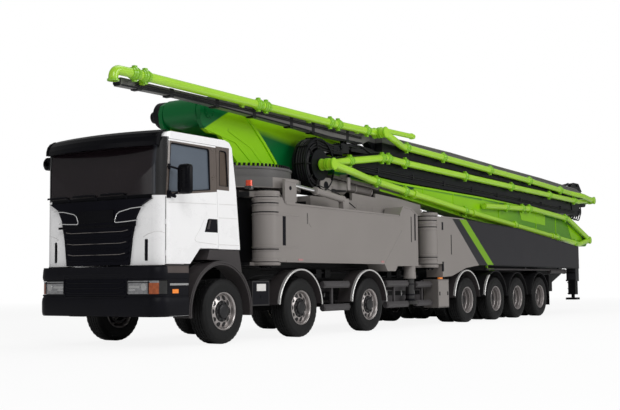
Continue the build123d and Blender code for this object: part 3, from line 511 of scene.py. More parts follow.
# ---- meshes
class Shape:
    """A mesh under construction, in the parts' frame."""

    def __init__(self, both: bool = False) -> None:
        """Start an empty mesh, or with both one that its right side will repeat."""
        self.mesh = bmesh.new()
        self.both = both

    def repeat_on_right(self) -> None:
        """Add the mirror image of what was drawn on the truck's left."""
        self.mesh.verts.index_update()
        twins = [self.mesh.verts.new((-v.co.x, *v.co.yz)) for v in list(self.mesh.verts)]
        for face in list(self.mesh.faces):
            self.mesh.faces.new([twins[v.index] for v in reversed(face.verts)])

    def box(self, low: Sequence[float], high: Sequence[float]) -> "Shape":
        """Add a box between two corners, given in the parts' frame.

        Args:
            low: one corner.
            high: the opposite corner.

        Returns:
            This shape.
        """
        size = [abs(b - a) for a, b in zip(low, high)]
        centre = [(a + b) / 2 for a, b in zip(low, high)]
        matrix = Matrix.Translation(centre) @ Matrix.Diagonal((*size, 1))
        bmesh.ops.create_cube(self.mesh, size=1, matrix=matrix)
        return self

    def block(self, x: Pair, aft: Pair, height: Pair) -> "Shape":
        """Add a box from its (low, high) pairs."""
        return self.box(at(x[0], aft[0], height[0]), at(x[1], aft[1], height[1]))

    def prism(self, outline: Sequence[Pair], near: float, far: float) -> "Shape":
        """Add a plate with a side view of (aft, height) points, from X near to X far.

        Args:
            outline: the (aft, height) points.
            near: X of one face.
            far: X of the other.

        Returns:
            This shape.
        """
        rings = [[self.mesh.verts.new(at(x, aft, height)) for aft, height in outline]
            for x in (near, far)]
        self.bridge(rings[0], rings[1], True)
        self.mesh.faces.new(rings[0])
        self.mesh.faces.new(rings[1])
        return self

    def bridge(self, first: list[bmesh.types.BMVert], second: list[bmesh.types.BMVert],
            closed: bool) -> None:
        """Join two rings of points by faces.

        Args:
            first: the points of one ring.
            second: those of the other.
            closed: whether the last points join the first ones.
        """
        count = len(first)
        for index in range(count if closed else count - 1):
            following = (index + 1) % count
            self.mesh.faces.new((first[index], first[following], second[following], second[index]))

    def lathe(self, profile: Sequence[Pair], origin: Vector, axis: Vector, segments: int = 48,
            closed: bool = False, shrink: Callable[[int, int], float] | None = None) -> "Shape":
        """Add the solid of revolution of a profile.

        Args:
            profile: (distance along the axis, radius) points.
            origin: where the distance is 0.
            axis: direction of the axis.
            segments: how many sides it has.
            closed: whether the profile's last point joins its first.
            shrink: how much smaller the radius is, for a profile point and a segment.

        Returns:
            This shape.
        """
        axis = axis.normalized()
        across = axis.orthogonal().normalized()
        other = axis.cross(across)
        columns = []
        for segment in range(segments):
            turn = 2 * math.pi * segment / segments
            outward = across * math.cos(turn) + other * math.sin(turn)
            column = []
            for index, (along, radius) in enumerate(profile):
                less = shrink(index, segment) if shrink else 0.0
                column.append(self.mesh.verts.new(origin + axis * along + outward
                    * max(radius - less, 0.0)))
            columns.append(column)
        for segment in range(segments):
            self.bridge(columns[segment], columns[(segment + 1) % segments], closed)
        return self

    def disc(self, centre: Vector, axis: Vector, radius: float, depth: float,
            segments: int = 24) -> "Shape":
        """Add a short cylinder centred on a point.

        Args:
            centre: its middle.
            axis: direction of its axis.
            radius: its radius.
            depth: its length.
            segments: how many sides it has.

        Returns:
            This shape.
        """
        half = depth / 2
        return self.lathe(((-half, 0), (-half, radius), (half, radius), (half, 0)), centre, axis,
            segments)

    def rod(self, start: Vector, end: Vector, radius: float, segments: int = 20) -> "Shape":
        """Add a straight round bar.

        Args:
            start: one end.
            end: the other end.
            radius: its radius.
            segments: how many sides it has.

        Returns:
            This shape.
        """
        run = end - start
        return self.lathe(((0, 0), (0, radius), (run.length, radius), (run.length, 0)), start, run,
            segments)

    def run(self, x: float, line: Sequence[Pair], radius: float, segments: int = 14,
            bend: float = 0.0, closed: bool = False) -> "Shape":
        """Add a tube along (aft, height) points that all have one X."""
        return self.tube([at(x, *spot) for spot in line], radius, segments, bend, closed)

    def tube(self, path: Sequence[Vector], radius: float, segments: int = 14, bend: float = 0.0,
            closed: bool = False) -> "Shape":
        """Add a round bar along a path whose corners may be rounded.

        Args:
            path: the corners.
            radius: the bar's radius.
            segments: sides of the section.
            bend: radius of the rounded corners.
            closed: whether the path joins its start.

        Returns:
            This shape.
        """
        points = rounded(path, bend) if bend else list(path)
        count = len(points)
        rings = []
        normal = (points[1] - points[0]).orthogonal().normalized()
        for index, point in enumerate(points):
            before_it = points[index - 1] if index or closed else points[0]
            after_it = points[(index + 1) % count] if index < count - 1 or closed else point
            tangent = (after_it - before_it).normalized()
            normal = (normal - tangent * normal.dot(tangent)).normalized()
            side = tangent.cross(normal)
            rings.append([self.mesh.verts.new(point + (normal * math.cos(a) + side * math.sin(a))
                * radius) for a in (2 * math.pi * k / segments for k in range(segments))])
        for index in range(count if closed else count - 1):
            self.bridge(rings[index], rings[(index + 1) % count], True)
        if not closed:
            self.mesh.faces.new(rings[0])
            self.mesh.faces.new(rings[-1])
        return self

    def piece(self, name: str, finish: Finish, body: str = "chassis", bevel: float = 0.0,
            slot: str = "", replaces: Iterable[str] = ()) -> bpy.types.Object:
        """Turn the shape into an object that rides on a body.

        Args:
            name: the object's name; one that starts with _ follows its body's name.
            finish: its surface.
            body: the CAD body that it moves with.
            bevel: width of its rounded edges.
            slot: not used.
            replaces: CAD nodes that it stands for.

        Returns:
            The object.
        """
        if self.both:
            self.repeat_on_right()
        if name[0] == "_":
            name = body + name
        bmesh.ops.remove_doubles(self.mesh, verts=self.mesh.verts, dist=1e-6)
        bmesh.ops.recalc_face_normals(self.mesh, faces=self.mesh.faces)
        data = bpy.data.meshes.new(name)
        self.mesh.to_mesh(data)
        self.mesh.free()
        piece = bpy.data.objects.new(name, data)
        bpy.context.scene.collection.objects.link(piece)
        data.materials.append(PALETTE(finish))
        soften(piece, bevel)
        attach(piece, body)
        if replaces:
            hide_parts(*replaces)
        LOG.info("piece %s rides on %s", name, body)
        return piece


def rounded(path: Sequence[Vector], bend: float, steps: int = 6) -> list[Vector]:
    """The path with an arc in place of each inner corner.

    Args:
        path: the corners.
        bend: radius of the arcs, less where the runs are short.
        steps: points on an arc.

    Returns:
        The points of the rounded path.
    """
    points = [path[0]]
    for before_it, corner, after_it in zip(path, path[1:], path[2:]):
        back, ahead = before_it - corner, after_it - corner
        turn = math.pi - back.angle(ahead)
        if turn < 0.01:
            points.append(corner)
            continue
        reach = min(bend * math.tan(turn / 2), 0.48 * back.length, 0.48 * ahead.length)
        first = corner + back.normalized() * reach
        last = corner + ahead.normalized() * reach
        for step in range(steps + 1):
            t = step / steps
            points.append(first * (1 - t) ** 2 + corner * (2 * t * (1 - t)) + last * t ** 2)
    points.append(path[-1])
    return points


def round_edges(piece: bpy.types.Object, width: float) -> None:
    """Round the hard edges of an object.

    Args:
        piece: the object.
        width: how wide the rounding is.
    """
    rounding = piece.modifiers.new("rounded_edges", "BEVEL")
    rounding.width = width
    rounding.segments = 2
    rounding.limit_method = "ANGLE"
    rounding.angle_limit = HARD_ANGLE
    rounding.harden_normals = True


def soften(piece: bpy.types.Object, bevel: float) -> None:
    """Shade a piece smooth, keep its hard edges and round them by a bevel.

    Args:
        piece: the object.
        bevel: width of its rounded edges, or 0 for none.
    """
    piece.data.polygons.foreach_set("use_smooth", [True] * len(piece.data.polygons))
    piece.data.set_sharp_from_angle(angle=HARD_ANGLE)
    if bevel:
        round_edges(piece, bevel)


# ---- carried-over parts
@dataclass
class CarriedParts:
    """The CAD nodes that stay in view, with their finishes."""

    finishes: dict[str, Finish] = field(default_factory=lambda: {"cab_shell": CAB_PAINT,
        "door": DOOR_PAINT, "cab_glass": WINDSCREEN, "door_glass": SIDE_GLASS,
        "cab_interior": CAB_TRIM, "sun_visor": VISOR, "grille": GRILLE_TRIM, "bumper": BUMPER_TRIM,
        "lamps": LAMP_GLASS, "fenders": FENDER_PAINT, "side_equipment": SIDE_PAINT,
        "outrigger_frame": FRAME_PAINT, "slewing_ring": SHADED_RING_PAINT, "hopper": DARK_FRAME,
        "chassis_frame": DARK_FRAME, "running_gear": DARK_FRAME, "turret": TURRET_PAINT,
        "boom_1": BOOM_1_PAINT, "boom_2": BOOM_2_PAINT, "boom_3": BOOM_DARK, "boom_4": BOOM_4_PAINT,
        "boom_5": BOOM_5_PAINT, "boom_pipe": PIPE_PAINT, "front_leg": STEEL_GREY,
        "rear_leg": REAR_LEG_PAINT, "front_jack": JACK_PAINT, "rear_jack": DARK_FRAME,
        "knuckle": DARK_FRAME})
    bevels: dict[str, float] = field(default_factory=lambda: {"cab_shell": 0.022, "door": 0.005,
        "sun_visor": 0.012, "grille": 0.01, "bumper": 0.014, "front_leg": 0.01, "rear_leg": 0.01,
        "boom_1": 0.014, "boom_2": 0.01, "boom_3": 0.01, "boom_4": 0.01, "boom_5": 0.01,
        "outrigger_frame": 0.01, "side_equipment": 0.012, "turret": 0.01, "fenders": 0.004,
        "hopper": 0.006})

    @staticmethod
    def kind(name: str) -> str:
        """What a node is, without its side, its axle or its boom section."""
        plain = name.removesuffix("_left").removesuffix("_right")
        return plain.rstrip("_12345") if plain.startswith(("boom_pipe", "knuckle")) else plain

    def dress(self) -> None:
        """Give every carried-over node its finish and soften its edges."""
        for name, node in FRAME["nodes"].items():
            kind = self.kind(name)
            if kind not in self.finishes:
                continue
            node.data.materials.clear()
            node.data.materials.append(PALETTE(self.finishes[kind]))
            if kind in self.bevels:
                round_edges(node, self.bevels[kind])
            LOG.info("node %s keeps its shape", name)


# ---- wheels
class WheelKind(Enum):
    """The two kinds of wheel: one tyre on a bowed rim, or two on a dished one."""

    SINGLE = "single"
    TWIN = "twin"


@dataclass
class Wheel:
    """One wheel station: its tyres, rim, hub, drum and nuts."""

    node: str
    side: int
    kind: WheelKind
    outer_x: float = 1.095
    twin_spacing: float = 0.345
    half_width: float = 0.155
    holes: int = 10
    hole_radius: float = 0.04
    hole_circle: float = 0.211
    nut_circle: float = 0.145

    @property
    def hub(self) -> Vector:
        """The point of the wheel's axis in the truck's middle plane."""
        centre = middle(self.node)
        return Vector((0, centre.y, centre.z))

    @property
    def outward(self) -> Vector:
        """Direction away from the truck."""
        return Vector((self.side, 0, 0))

    def tyre(self, shape: Shape, x: float) -> None:
        """Add one tyre whose middle is at a distance from the truck's middle plane.

        Args:
            shape: receives the tyre.
            x: the distance.
        """
        half = self.half_width
        wall = [(half - 0.05, 0.272), (half - 0.03, 0.284), (half - 0.01, 0.3),
            (half - 0.008, 0.312), (half - 0.004, 0.314), (half, 0.355), (half, 0.42),
            (half - 0.006, 0.452), (half - 0.01, 0.456), (half - 0.014, 0.478),
            (half - 0.028, 0.494)]
        tread = [(half - 0.042, 0.4985)]
        for groove in (0.072, 0.026):
            tread += [(groove + 0.006, 0.5005), (groove + 0.005, 0.487), (groove - 0.005, 0.487),
                (groove - 0.006, 0.5005)]
        right = wall + tread
        profile = [(x + a, r) for a, r in right] + [(x - a, r) for a, r in reversed(right)]
        blocks = range(len(wall) - 2, len(profile) - len(wall) + 2)

        def notch(index: int, segment: int) -> float:
            """Depth of the cross grooves in the tread."""
            return 0.006 if segment % 3 == 0 and index in blocks else 0.0

        shape.lathe(profile, self.hub, self.outward, 108, True, notch)

    def disc_profile(self) -> list[Pair]:
        """Closed outline of the rim and its disc.

        Returns:
            (distance from the truck's middle plane, radius) points.
        """
        if self.kind is WheelKind.SINGLE:
            return [(1.236, 0.293), (1.243, 0.286), (1.236, 0.274), (1.216, 0.266), (1.17, 0.258),
                (1.16, 0.246), (1.172, 0.226), (1.188, 0.185), (1.199, 0.16), (1.203, 0.128),
                (1.206, 0.11), (1.236, 0.102), (1.24, 0.088), (1.24, 0), (1.1, 0), (1.1, 0.11),
                (1.15, 0.2), (1.14, 0.245), (1, 0.258), (0.955, 0.268), (0.948, 0.29),
                (0.952, 0.294), (0.99, 0.28), (1.19, 0.28)]
        return [(1.236, 0.293), (1.243, 0.286), (1.236, 0.272), (1.212, 0.262), (1.18, 0.261),
            (1.172, 0.254), (1.15, 0.254), (1.142, 0.26), (1.1, 0.258), (1.092, 0.247),
            (1.07, 0.246), (1.03, 0.238), (0.998, 0.236), (0.984, 0.23), (0.976, 0.205),
            (0.98, 0.162), (0.99, 0.15), (1.11, 0.138), (1.124, 0.122), (1.126, 0), (1, 0),
            (1, 0.1), (0.95, 0.14), (0.95, 0.24), (0.905, 0.262), (0.64, 0.262), (0.608, 0.272),
            (0.602, 0.292), (0.645, 0.282), (0.99, 0.28), (1.19, 0.28)]

    def build(self) -> None:
        """Make the wheel's pieces."""
        tyres = Shape()
        self.tyre(tyres, self.outer_x)
        if self.kind is WheelKind.TWIN:
            self.tyre(tyres, self.outer_x - self.twin_spacing)
        tyres.piece("_tyre", TYRE, self.node, replaces=(self.node,))
        single = self.kind is WheelKind.SINGLE
        Shape().lathe(self.disc_profile(), self.hub, self.outward, 64, True).piece("_rim", RIM
            if single else RIM_BARREL, self.node)
        if not single:
            face = Shape().lathe(((0.9875, 0.232), (0.9795, 0.205), (0.983, 0.162), (0.993, 0.1525),
                (1.113, 0.1405), (1.127, 0.123), (1.1285, 0)), self.hub, self.outward, 64)
            face.piece("_disc", RIM_REAR, self.node)
        self.openings()
        self.nuts()
        near, far, bore = (0.7, 0.93, 0.09) if not single else (0.965, 1.09, 0.175)
        Shape().lathe(((near, bore), (far, bore), (far, 0.205), (near, 0.205)), self.hub,
            self.outward, 40, True).piece("_drum", HUB_PAINT_AND_HOLE_SHADE, self.node)

    def around(self, count: int, radius: float, x: float,
            shift: float = 0) -> list[tuple[Vector, Vector]]:
        """Places on a circle about the axis, each with its outward direction.

        Args:
            count: how many.
            radius: the circle's radius.
            x: distance from the truck's middle plane.
            shift: turn, in steps.

        Returns:
            (place, direction) pairs.
        """
        places = []
        for index in range(count):
            turn = 2 * math.pi * (index + shift) / count
            radial = Vector((0, math.cos(turn), math.sin(turn)))
            places.append((self.hub + self.outward * x + radial * radius, radial))
        return places

    def openings(self) -> None:
        """Dark discs on the rim where its hand holes are, painted shade for the shadow seen through
        them, and the hub's cap.
        """
        single = self.kind is WheelKind.SINGLE
        x = 1.178 if single else 0.9845
        lean = 0.36 if single else 0.0
        holes = Shape()
        # Painted shade: each hand hole is a dark disc, not an opening.
        for centre, radial in self.around(self.holes, self.hole_circle, x):
            holes.disc(centre, self.outward + radial * lean, self.hole_radius, 0.006, 20)
        if single:
            holes.lathe(((1.19, 0.166), (1.205, 0.162), (1.209, 0.112), (1.238, 0.104),
                (1.244, 0.088), (1.246, 0.07), (1.247, 0)), self.hub, self.outward, 32)
        else:
            holes.lathe(((1.11, 0.1), (1.13, 0.1), (1.14, 0.08), (1.142, 0)), self.hub,
                self.outward, 32)
        holes.piece("_openings", HUB_PAINT_AND_HOLE_SHADE, self.node)

    def nuts(self) -> None:
        """The wheel nuts."""
        single = self.kind is WheelKind.SINGLE
        x = 1.212 if single else 0.996
        radius = self.nut_circle if single else 0.176
        nuts = Shape()
        for centre, _ in self.around(10, radius, x, 0.5):
            nuts.disc(centre, self.outward, 0.0155, 0.026, 6)
        nuts.piece("_nuts", NUT_STEEL, self.node)


@dataclass
class Wheels:
    """All fourteen wheel stations."""

    first_twin: int = 4
    last: int = 7

    def build(self) -> None:
        """Make every wheel."""
        for number in range(1, self.last + 1):
            kind = WheelKind.TWIN if number >= self.first_twin else WheelKind.SINGLE
            for name, side in SIDES:
                Wheel(f"wheel_{number}_{name}", side, kind).build()


# ---- cab
@dataclass
class CabFront:
    """The grille's bars, its bright outlines, the lamps' painted glints and dividers and the
    bumper's details.
    """

    face_aft: float = -1.484
    skin_aft: float = -1.44
    bumper_aft: float = -1.5
    bars: Outline = ((1.275, 0.6), (1.355, 0.61), (1.437, 0.62), (1.52, 0.63), (1.605, 0.64),
        (1.69, 0.66))
    bar_radius: float = 0.011
    corner_outline: Outline = ((0.945, 2.045), (0.7, 2.03), (0.47, 1.985), (0.415, 1.95),
        (0.375, 1.855), (0.395, 1.832), (0.6, 1.84), (0.815, 1.855))
    wiper_roots: tuple[float, ...] = (-0.62, -0.02, 0.58)

    def on_face(self, x: float, height: float, proud: float, base: float | None = None) -> Vector:
        """A point that stands proud of the bowed front.

        Args:
            x: distance to the left.
            height: height above the ground.
            proud: how far it stands ahead of the surface.
            base: the surface's station in the middle, if it isn't the grille's.

        Returns:
            The point.
        """
        station = self.face_aft if base is None else base
        return at(x, station + 0.045 * (x / 1.025) ** 2 - proud, height)

    def build(self) -> None:
        """Make the pieces of the cab's front."""
        self.grille_bars()
        self.outlines()
        self.lower_grille()
        self.lamp_glints_and_dividers()
        self.wipers()
        self.corner_vents()
        self.step_panels()

    def grille_bars(self) -> None:
        """Bars across the grille, with ends that turn up."""
        bars = Shape()
        for height, half in self.bars:
            bars.tube([self.on_face(x, height + rise, 0.004) for x, rise in ((-half - 0.035, 0.03),
                (-half + 0.02, 0.012), (-half + 0.1, 0.004), (-0.25, 0.004), (0, 0.004),
                (0.25, 0.004), (half - 0.1, 0.004), (half - 0.02, 0.012), (half + 0.035, 0.03))],
                self.bar_radius, 10, 0.12)
        bars.piece("grille_bars", GRILLE_TRIM)
        edges = Shape()
        for height, half in self.bars[1::2]:
            edges.tube([self.on_face(x, height + rise, 0.014)
                for x, rise in ((-half + 0.02, 0.024), (-half + 0.14, 0.006), (-0.25, 0.006),
                (0.25, 0.006), (half - 0.14, 0.006), (half - 0.02, 0.024))], 0.0035, 6, 0.12)
        edges.piece("grille_bar_edges", STEEL_GREY)
        upper = Shape().block((-0.8, 0.8), (self.face_aft - 0.006, self.face_aft + 0.01),
            (1.765, 1.8))
        upper.block((-0.36, 0.36), (self.face_aft - 0.012, self.face_aft + 0.01), (1.84, 2.02))
        upper.piece("grille_upper_panel", VISOR, bevel=0.006)

    def outlines(self) -> None:
        """The thin bright frames in the grille's upper corners."""
        Shape(both=True).tube([self.on_face(x, z, 0.003) for x, z in self.corner_outline], 0.0085,
            8, 0.03).piece("grille_corner_frames", CHROME)

    def lower_grille(self) -> None:
        """The recessed grille between the lamps and the lip below it."""
        Shape().block((-0.62, 0.62), (self.bumper_aft - 0.006, self.bumper_aft + 0.02),
            (0.765, 1.045)).piece("lower_grille_panel", GRILLE_TRIM, bevel=0.008)
        bars = Shape()
        for height in (0.8, 0.872, 0.945, 1.015):
            bars.tube([at(x, self.bumper_aft - 0.009, height + rise)
                for x, rise in ((-0.6, 0.018), (-0.5, 0), (0.5, 0), (0.6, 0.018))], 0.009, 8, 0.1)
        bars.piece("lower_grille_bars", TRIM)
        frame = Shape().tube([at(x, self.bumper_aft - 0.006, z)
            for x, z in ((-0.6, 0.735), (0.6, 0.735), (0.648, 0.8), (0.64, 1.075), (-0.64, 1.075),
            (-0.648, 0.8))], 0.011, 10, 0.05, True)
        frame.piece("lower_grille_frame", TRIM)
        bands = Shape()
        for profile in (((0, 0.462), (0.012, 0.47), (0.02, 0.52), (0.022, 0.66), (0.016, 0.715),
                (0, 0.742)), ((0, 1), (0.01, 1.008), (0.014, 1.05), (0.006, 1.15), (0, 1.165)),
                ((0, 0.752), (0.009, 0.756), (0.009, 0.77), (0, 0.776))):
            self.around_bumper(bands, profile)
        bands.piece("bumper_bands", BUMPER_TRIM)

    def around_bumper(self, shape: Shape, profile: Sequence[Pair]) -> None:
        """Sweep a band round the bumper's outside.

        Args:
            shape: receives the band.
            profile: (how far it stands out, height) points.
        """
        half, corner, back = 1.245, 0.23, -0.845
        plan = [(half, back, 1, 0)]
        for step in range(10):
            turn = math.radians(10 * step)
            nx, ny = math.cos(turn), -math.sin(turn)
            plan.append((half - corner + corner * nx, self.bumper_aft + corner + corner * ny, nx,
                ny))
        plan += [(-x, aft, -nx, ny) for x, aft, nx, ny in reversed(plan)]
        rings = [[shape.mesh.verts.new(at(x + nx * out, aft + ny * out, height))
            for out, height in profile] for x, aft, nx, ny in plan]
        for first, second in zip(rings, rings[1:]):
            shape.bridge(first, second, False)

    def lamp_glints_and_dividers(self) -> None:
        """Chrome bars and a disc on the headlamps' faces, painted highlights for the glints in the
        lamps, and their dark dividers.
        """
        bright = Shape(both=True)
        dark = Shape(both=True)
        # Painted highlight: the chrome bars and disc stand for glints on the headlamps.
        bright.block((0.675, 0.885), (-1.4965, -1.49), (0.872, 0.906))
        bright.block((0.675, 0.8), (-1.4965, -1.49), (0.835, 0.86))
        bright.disc(at(0.965, -1.4955, 0.885), ALONG, 0.052, 0.004)
        dark.block((0.664, 1.075), (-1.4975, -1.49), (0.944, 0.956))
        dark.block((1.045, 1.06), (-1.4975, -1.49), (0.79, 0.97))
        bright.piece("headlamp_reflectors", CHROME, bevel=0.003)
        dark.piece("headlamp_dividers", TRIM)

    def wipers(self) -> None:
        """Three wipers at the foot of the windscreen."""
        wipers = Shape()
        for root in self.wiper_roots:
            line = [self.on_face(x, z, 0.012, self.skin_aft) for x, z in ((root, 2.195),
                (root - 0.1, 2.262), (root - 0.3, 2.264), (root - 0.52, 2.262))]
            wipers.tube(line, 0.008, 8, 0.05)
            wipers.tube([self.on_face(x, 2.25, 0.004, self.skin_aft)
                for x in (root - 0.54, root - 0.4, root - 0.2, root - 0.02)], 0.007, 6)
            wipers.disc(line[0], ALONG, 0.02, 0.02, 12)
        wipers.piece("windscreen_wipers", TRIM)
        scuttle = Shape()
        for height in (2.178, 2.196, 2.214):
            scuttle.tube([self.on_face(-1.03 + 0.103 * k, height, 0.004, self.skin_aft)
                for k in range(21)], 0.01, 6)
        scuttle.piece("windscreen_foot", VISOR)

    def corner_vents(self) -> None:
        """The tall dark slots in the cab's front corners."""
        rims = Shape(both=True)
        rims.tube([self.on_face(x, z, 0, self.skin_aft) for x, z in ((0.895, 1.3), (0.9, 1.545),
            (0.918, 1.59), (0.958, 1.59), (0.972, 1.55), (0.97, 1.28), (0.95, 1.25),
            (0.912, 1.25))], 0.005, 8, 0.02, True)
        Shape(both=True).prism([(-1.4125, 1.262), (-1.4125, 1.575), (-1.395, 1.575),
            (-1.395, 1.262)], 0.905, 0.96).piece("corner_vents", TRIM, bevel=0.018)
        rims.piece("corner_vent_rims", CAB_PAINT)

    def step_panels(self) -> None:
        """Bright strips and amber markers beside the step, and the panel over the bumper."""
        strips = Shape(both=True)
        strips.block((1.2455, 1.2495), (-1.25, -0.845), (0.905, 0.935))
        strips.block((1.2455, 1.2495), (-1.27, -0.845), (0.462, 0.482))
        strips.piece("step_strips", CHROME, bevel=0.0015)
        Shape(both=True).block((1.2455, 1.25), (-1.195, -1.065), (0.79, 0.85)).piece("side_markers",
            AMBER, bevel=0.0015)
        Shape(both=True).block((1.15, 1.213), (-1.3, -0.79), (1.188, 1.209)).piece("sill_panels",
            FENDER_TRIM, bevel=0.002, slot="black_plastic")


@dataclass
class CabSides:
    """Handles, window seals, mirrors and the wedges between the cab and its fenders."""

    door_x: float = 1.2145
    handle: Outline = ((-0.43, 1.7), (-0.36, 1.885), (-0.335, 1.905), (-0.125, 1.905),
        (-0.118, 1.7))
    window: Outline = ((-1.245, 2.245), (-1.195, 2.975), (-0.325, 2.965), (-0.295, 2.345))
    quarter: Outline = ((-0.075, 2.425), (-0.075, 2.975), (0.095, 2.965), (0.14, 2.425))
    creases: tuple[tuple[Outline, float], ...] = ((((-1.235, 2.105), (-0.15, 2.137)), 0),
        (((-0.44, 1.885), (-0.53, 1.75), (-0.665, 1.59), (-0.63, 1.548), (-0.15, 1.52)), 0.05))
    shell_creases: tuple[Outline, ...] = (((-0.08, 2.14), (0.35, 2.15)),
        ((-0.09, 1.93), (0.375, 1.935)), ((-0.085, 1.52), (0.415, 1.515)))

    def build(self) -> None:
        """Make the pieces of the cab's sides."""
        for name, side in SIDES:
            self.door_pieces(name, side)
            self.mirror(name, side)
        self.quarter_seals()
        self.shell_lines()
        self.wedges()

    def door_pieces(self, name: str, side: int) -> None:
        """The handle's recess, its grip and the window's seal on one door.

        Args:
            name: which door.
            side: 1 on the left and -1 on the right.
        """
        x = self.door_x
        Shape().prism(self.handle, side * (x - 0.003), side
            * (x + 0.0015)).piece(f"door_handle_recess_{name}", TRIM, f"door_{name}", 0.001)
        grip = Shape().prism(((-0.385, 1.745), (-0.33, 1.88), (-0.295, 1.88), (-0.335, 1.745)), side
            * (x + 0.001), side * (x + 0.016))
        grip.piece(f"door_handle_{name}", FENDER_TRIM, f"door_{name}", 0.004, slot="black_plastic")
        Shape().run(side * (x - 0.012), self.window, 0.014, 8, 0.05,
            True).piece(f"door_window_seal_{name}", TRIM, f"door_{name}")
        # The creases are thin tubes in a darker grey: painted shade.
        creases = Shape()
        for line, bend in self.creases:
            creases.run(side * (x - 0.003), line, 0.0055, 8, bend)
        creases.piece(f"door_crease_{name}", PAINTED_CREASE_SHADE, f"door_{name}")
        Shape().rod(at(side * 1.1975, -1.284, 1.225), at(side * 1.1975, -1.284, 2.185), 0.0045,
            8).piece(f"door_front_gap_{name}", TRIM, f"door_{name}")

    def mirror(self, name: str, side: int) -> None:
        """One mirror: its housing, glass and arms.

        Args:
            name: which door it hangs on.
            side: 1 on the left and -1 on the right.
        """
        big = side > 0
        bottom, top = (2.222, 2.655) if big else (2.75, 2.955)
        inner, outer = 1.3, 1.526
        housing = Shape()
        rings = []
        for depth, shrink in ((0, 0.06), (0.012, 0.022), (0.045, 0), (0.112, 0), (0.118, 0.006),
                (0.112, 0.016), (0.095, 0.018)):
            ring = []
            for x, z in self.soft_corners(inner + shrink, outer - shrink, bottom + shrink, top
                    - shrink, 0.055 if big else 0.075):
                ring.append(housing.mesh.verts.new(at(side * x, -1.186 + depth, z)))
            rings.append(ring)
        for first, second in zip(rings, rings[1:]):
            housing.bridge(first, second, True)
        housing.mesh.faces.new(rings[0])
        housing.mesh.faces.new(rings[-1])
        housing.piece(f"mirror_housing_{name}", VISOR, f"door_{name}", replaces=(f"mirror_{name}",))
        glass = Shape()
        glass.mesh.faces.new([glass.mesh.verts.new(at(side * x, -1.0895, z))
            for x, z in self.soft_corners(inner + 0.02, outer - 0.02, bottom + 0.02, top - 0.02,
            0.045)])
        glass.piece(f"mirror_glass_{name}", CHROME, f"door_{name}")
        arms = Shape()
        heights = (2.2, 2.62) if big else (2.72, 2.948)
        for height in heights:
            root = -1.245 if big else -1.17
            arms.tube([at(side * 1.2, root, height), at(side * 1.245, root, height),
                at(side * 1.31, -1.15, height + (0.04 if height == heights[0] else -0.03))], 0.016,
                10, 0.03)
        if big:
            arms.lathe(((-0.055, 0), (-0.05, 0.028), (0.045, 0.022), (0.05, 0)),
                at(side * 1.262, -1.2, 2.2), Vector((side, 0.4, -0.5)), 20)
            arms.block((side * 1.196, side * 1.226), (-1.272, -1.2), (2.165, 2.275))
            arms.block((side * 1.196, side * 1.222), (-1.255, -1.205), (2.585, 2.665))
        arms.piece(f"mirror_arms_{name}", TRIM, f"door_{name}", 0.004)

    @staticmethod
    def soft_corners(x_low: float, x_high: float, z_low: float, z_high: float,
            radius: float) -> list[Pair]:
        """A rectangle with round corners, as (x, z) points.

        Args:
            x_low: its inner edge.
            x_high: its outer edge.
            z_low: its foot.
            z_high: its top.
            radius: radius of the corners.

        Returns:
            The points.
        """
        points = []
        for cx, cz, start in ((x_high - radius, z_high - radius, 0),
                (x_low + radius, z_high - radius, 90), (x_low + radius, z_low + radius, 180),
                (x_high - radius, z_low + radius, 270)):
            for step in range(7):
                turn = math.radians(start + 15 * step)
                points.append((cx + radius * math.cos(turn), cz + radius * math.sin(turn)))
        return points

    def quarter_seals(self) -> None:
        """Seals about the fixed rear side windows."""
        Shape(both=True).run(1.206, self.quarter, 0.012, 8, 0.05,
            True).piece("quarter_window_seals", TRIM)

    def shell_lines(self) -> None:
        """Creases of the fixed panels behind the doors and on the cab's front corners, as thin
        tubes in painted shade.
        """
        lines = Shape(both=True)
        for line in self.shell_creases:
            lines.run(1.2125, line, 0.0055, 8)
        brow = [(64, 1.655), (48, 1.675), (30, 1.682), (12, 1.676), (0, 1.664)]
        lines.tube([at(1.025 + 0.188 * math.sin(math.radians(turn)), -1.205 - 0.188
            * math.cos(math.radians(turn)), z) for turn, z in brow]
            + [at(0.95, -1.401, 1.645), at(0.875, -1.408, 1.605)], 0.0055, 8, 0.02)
        lines.piece("cab_creases", PAINTED_CREASE_SHADE)

    def wedges(self) -> None:
        """Dark plastic between the cab's underside and the front fenders."""
        Shape(both=True).prism(((-0.36, 1.285), (-0.3, 1.442), (0.425, 1.442), (0.5, 1.1),
            (0.4, 1.1), (0.22, 1.235), (-0.04, 1.272)), 0.96, 1.205).piece("fender_wedges",
            FENDER_TRIM, bevel=0.006)
        arc = [at(1.2505, -0.06 + 0.738 * math.cos(a), 0.501 + 0.738 * math.sin(a))
            for a in (math.radians(-5 + 5 * k) for k in range(39))]
        Shape(both=True).tube(arc, 0.01, 8).piece("front_fender_lips", FENDER_TRIM)


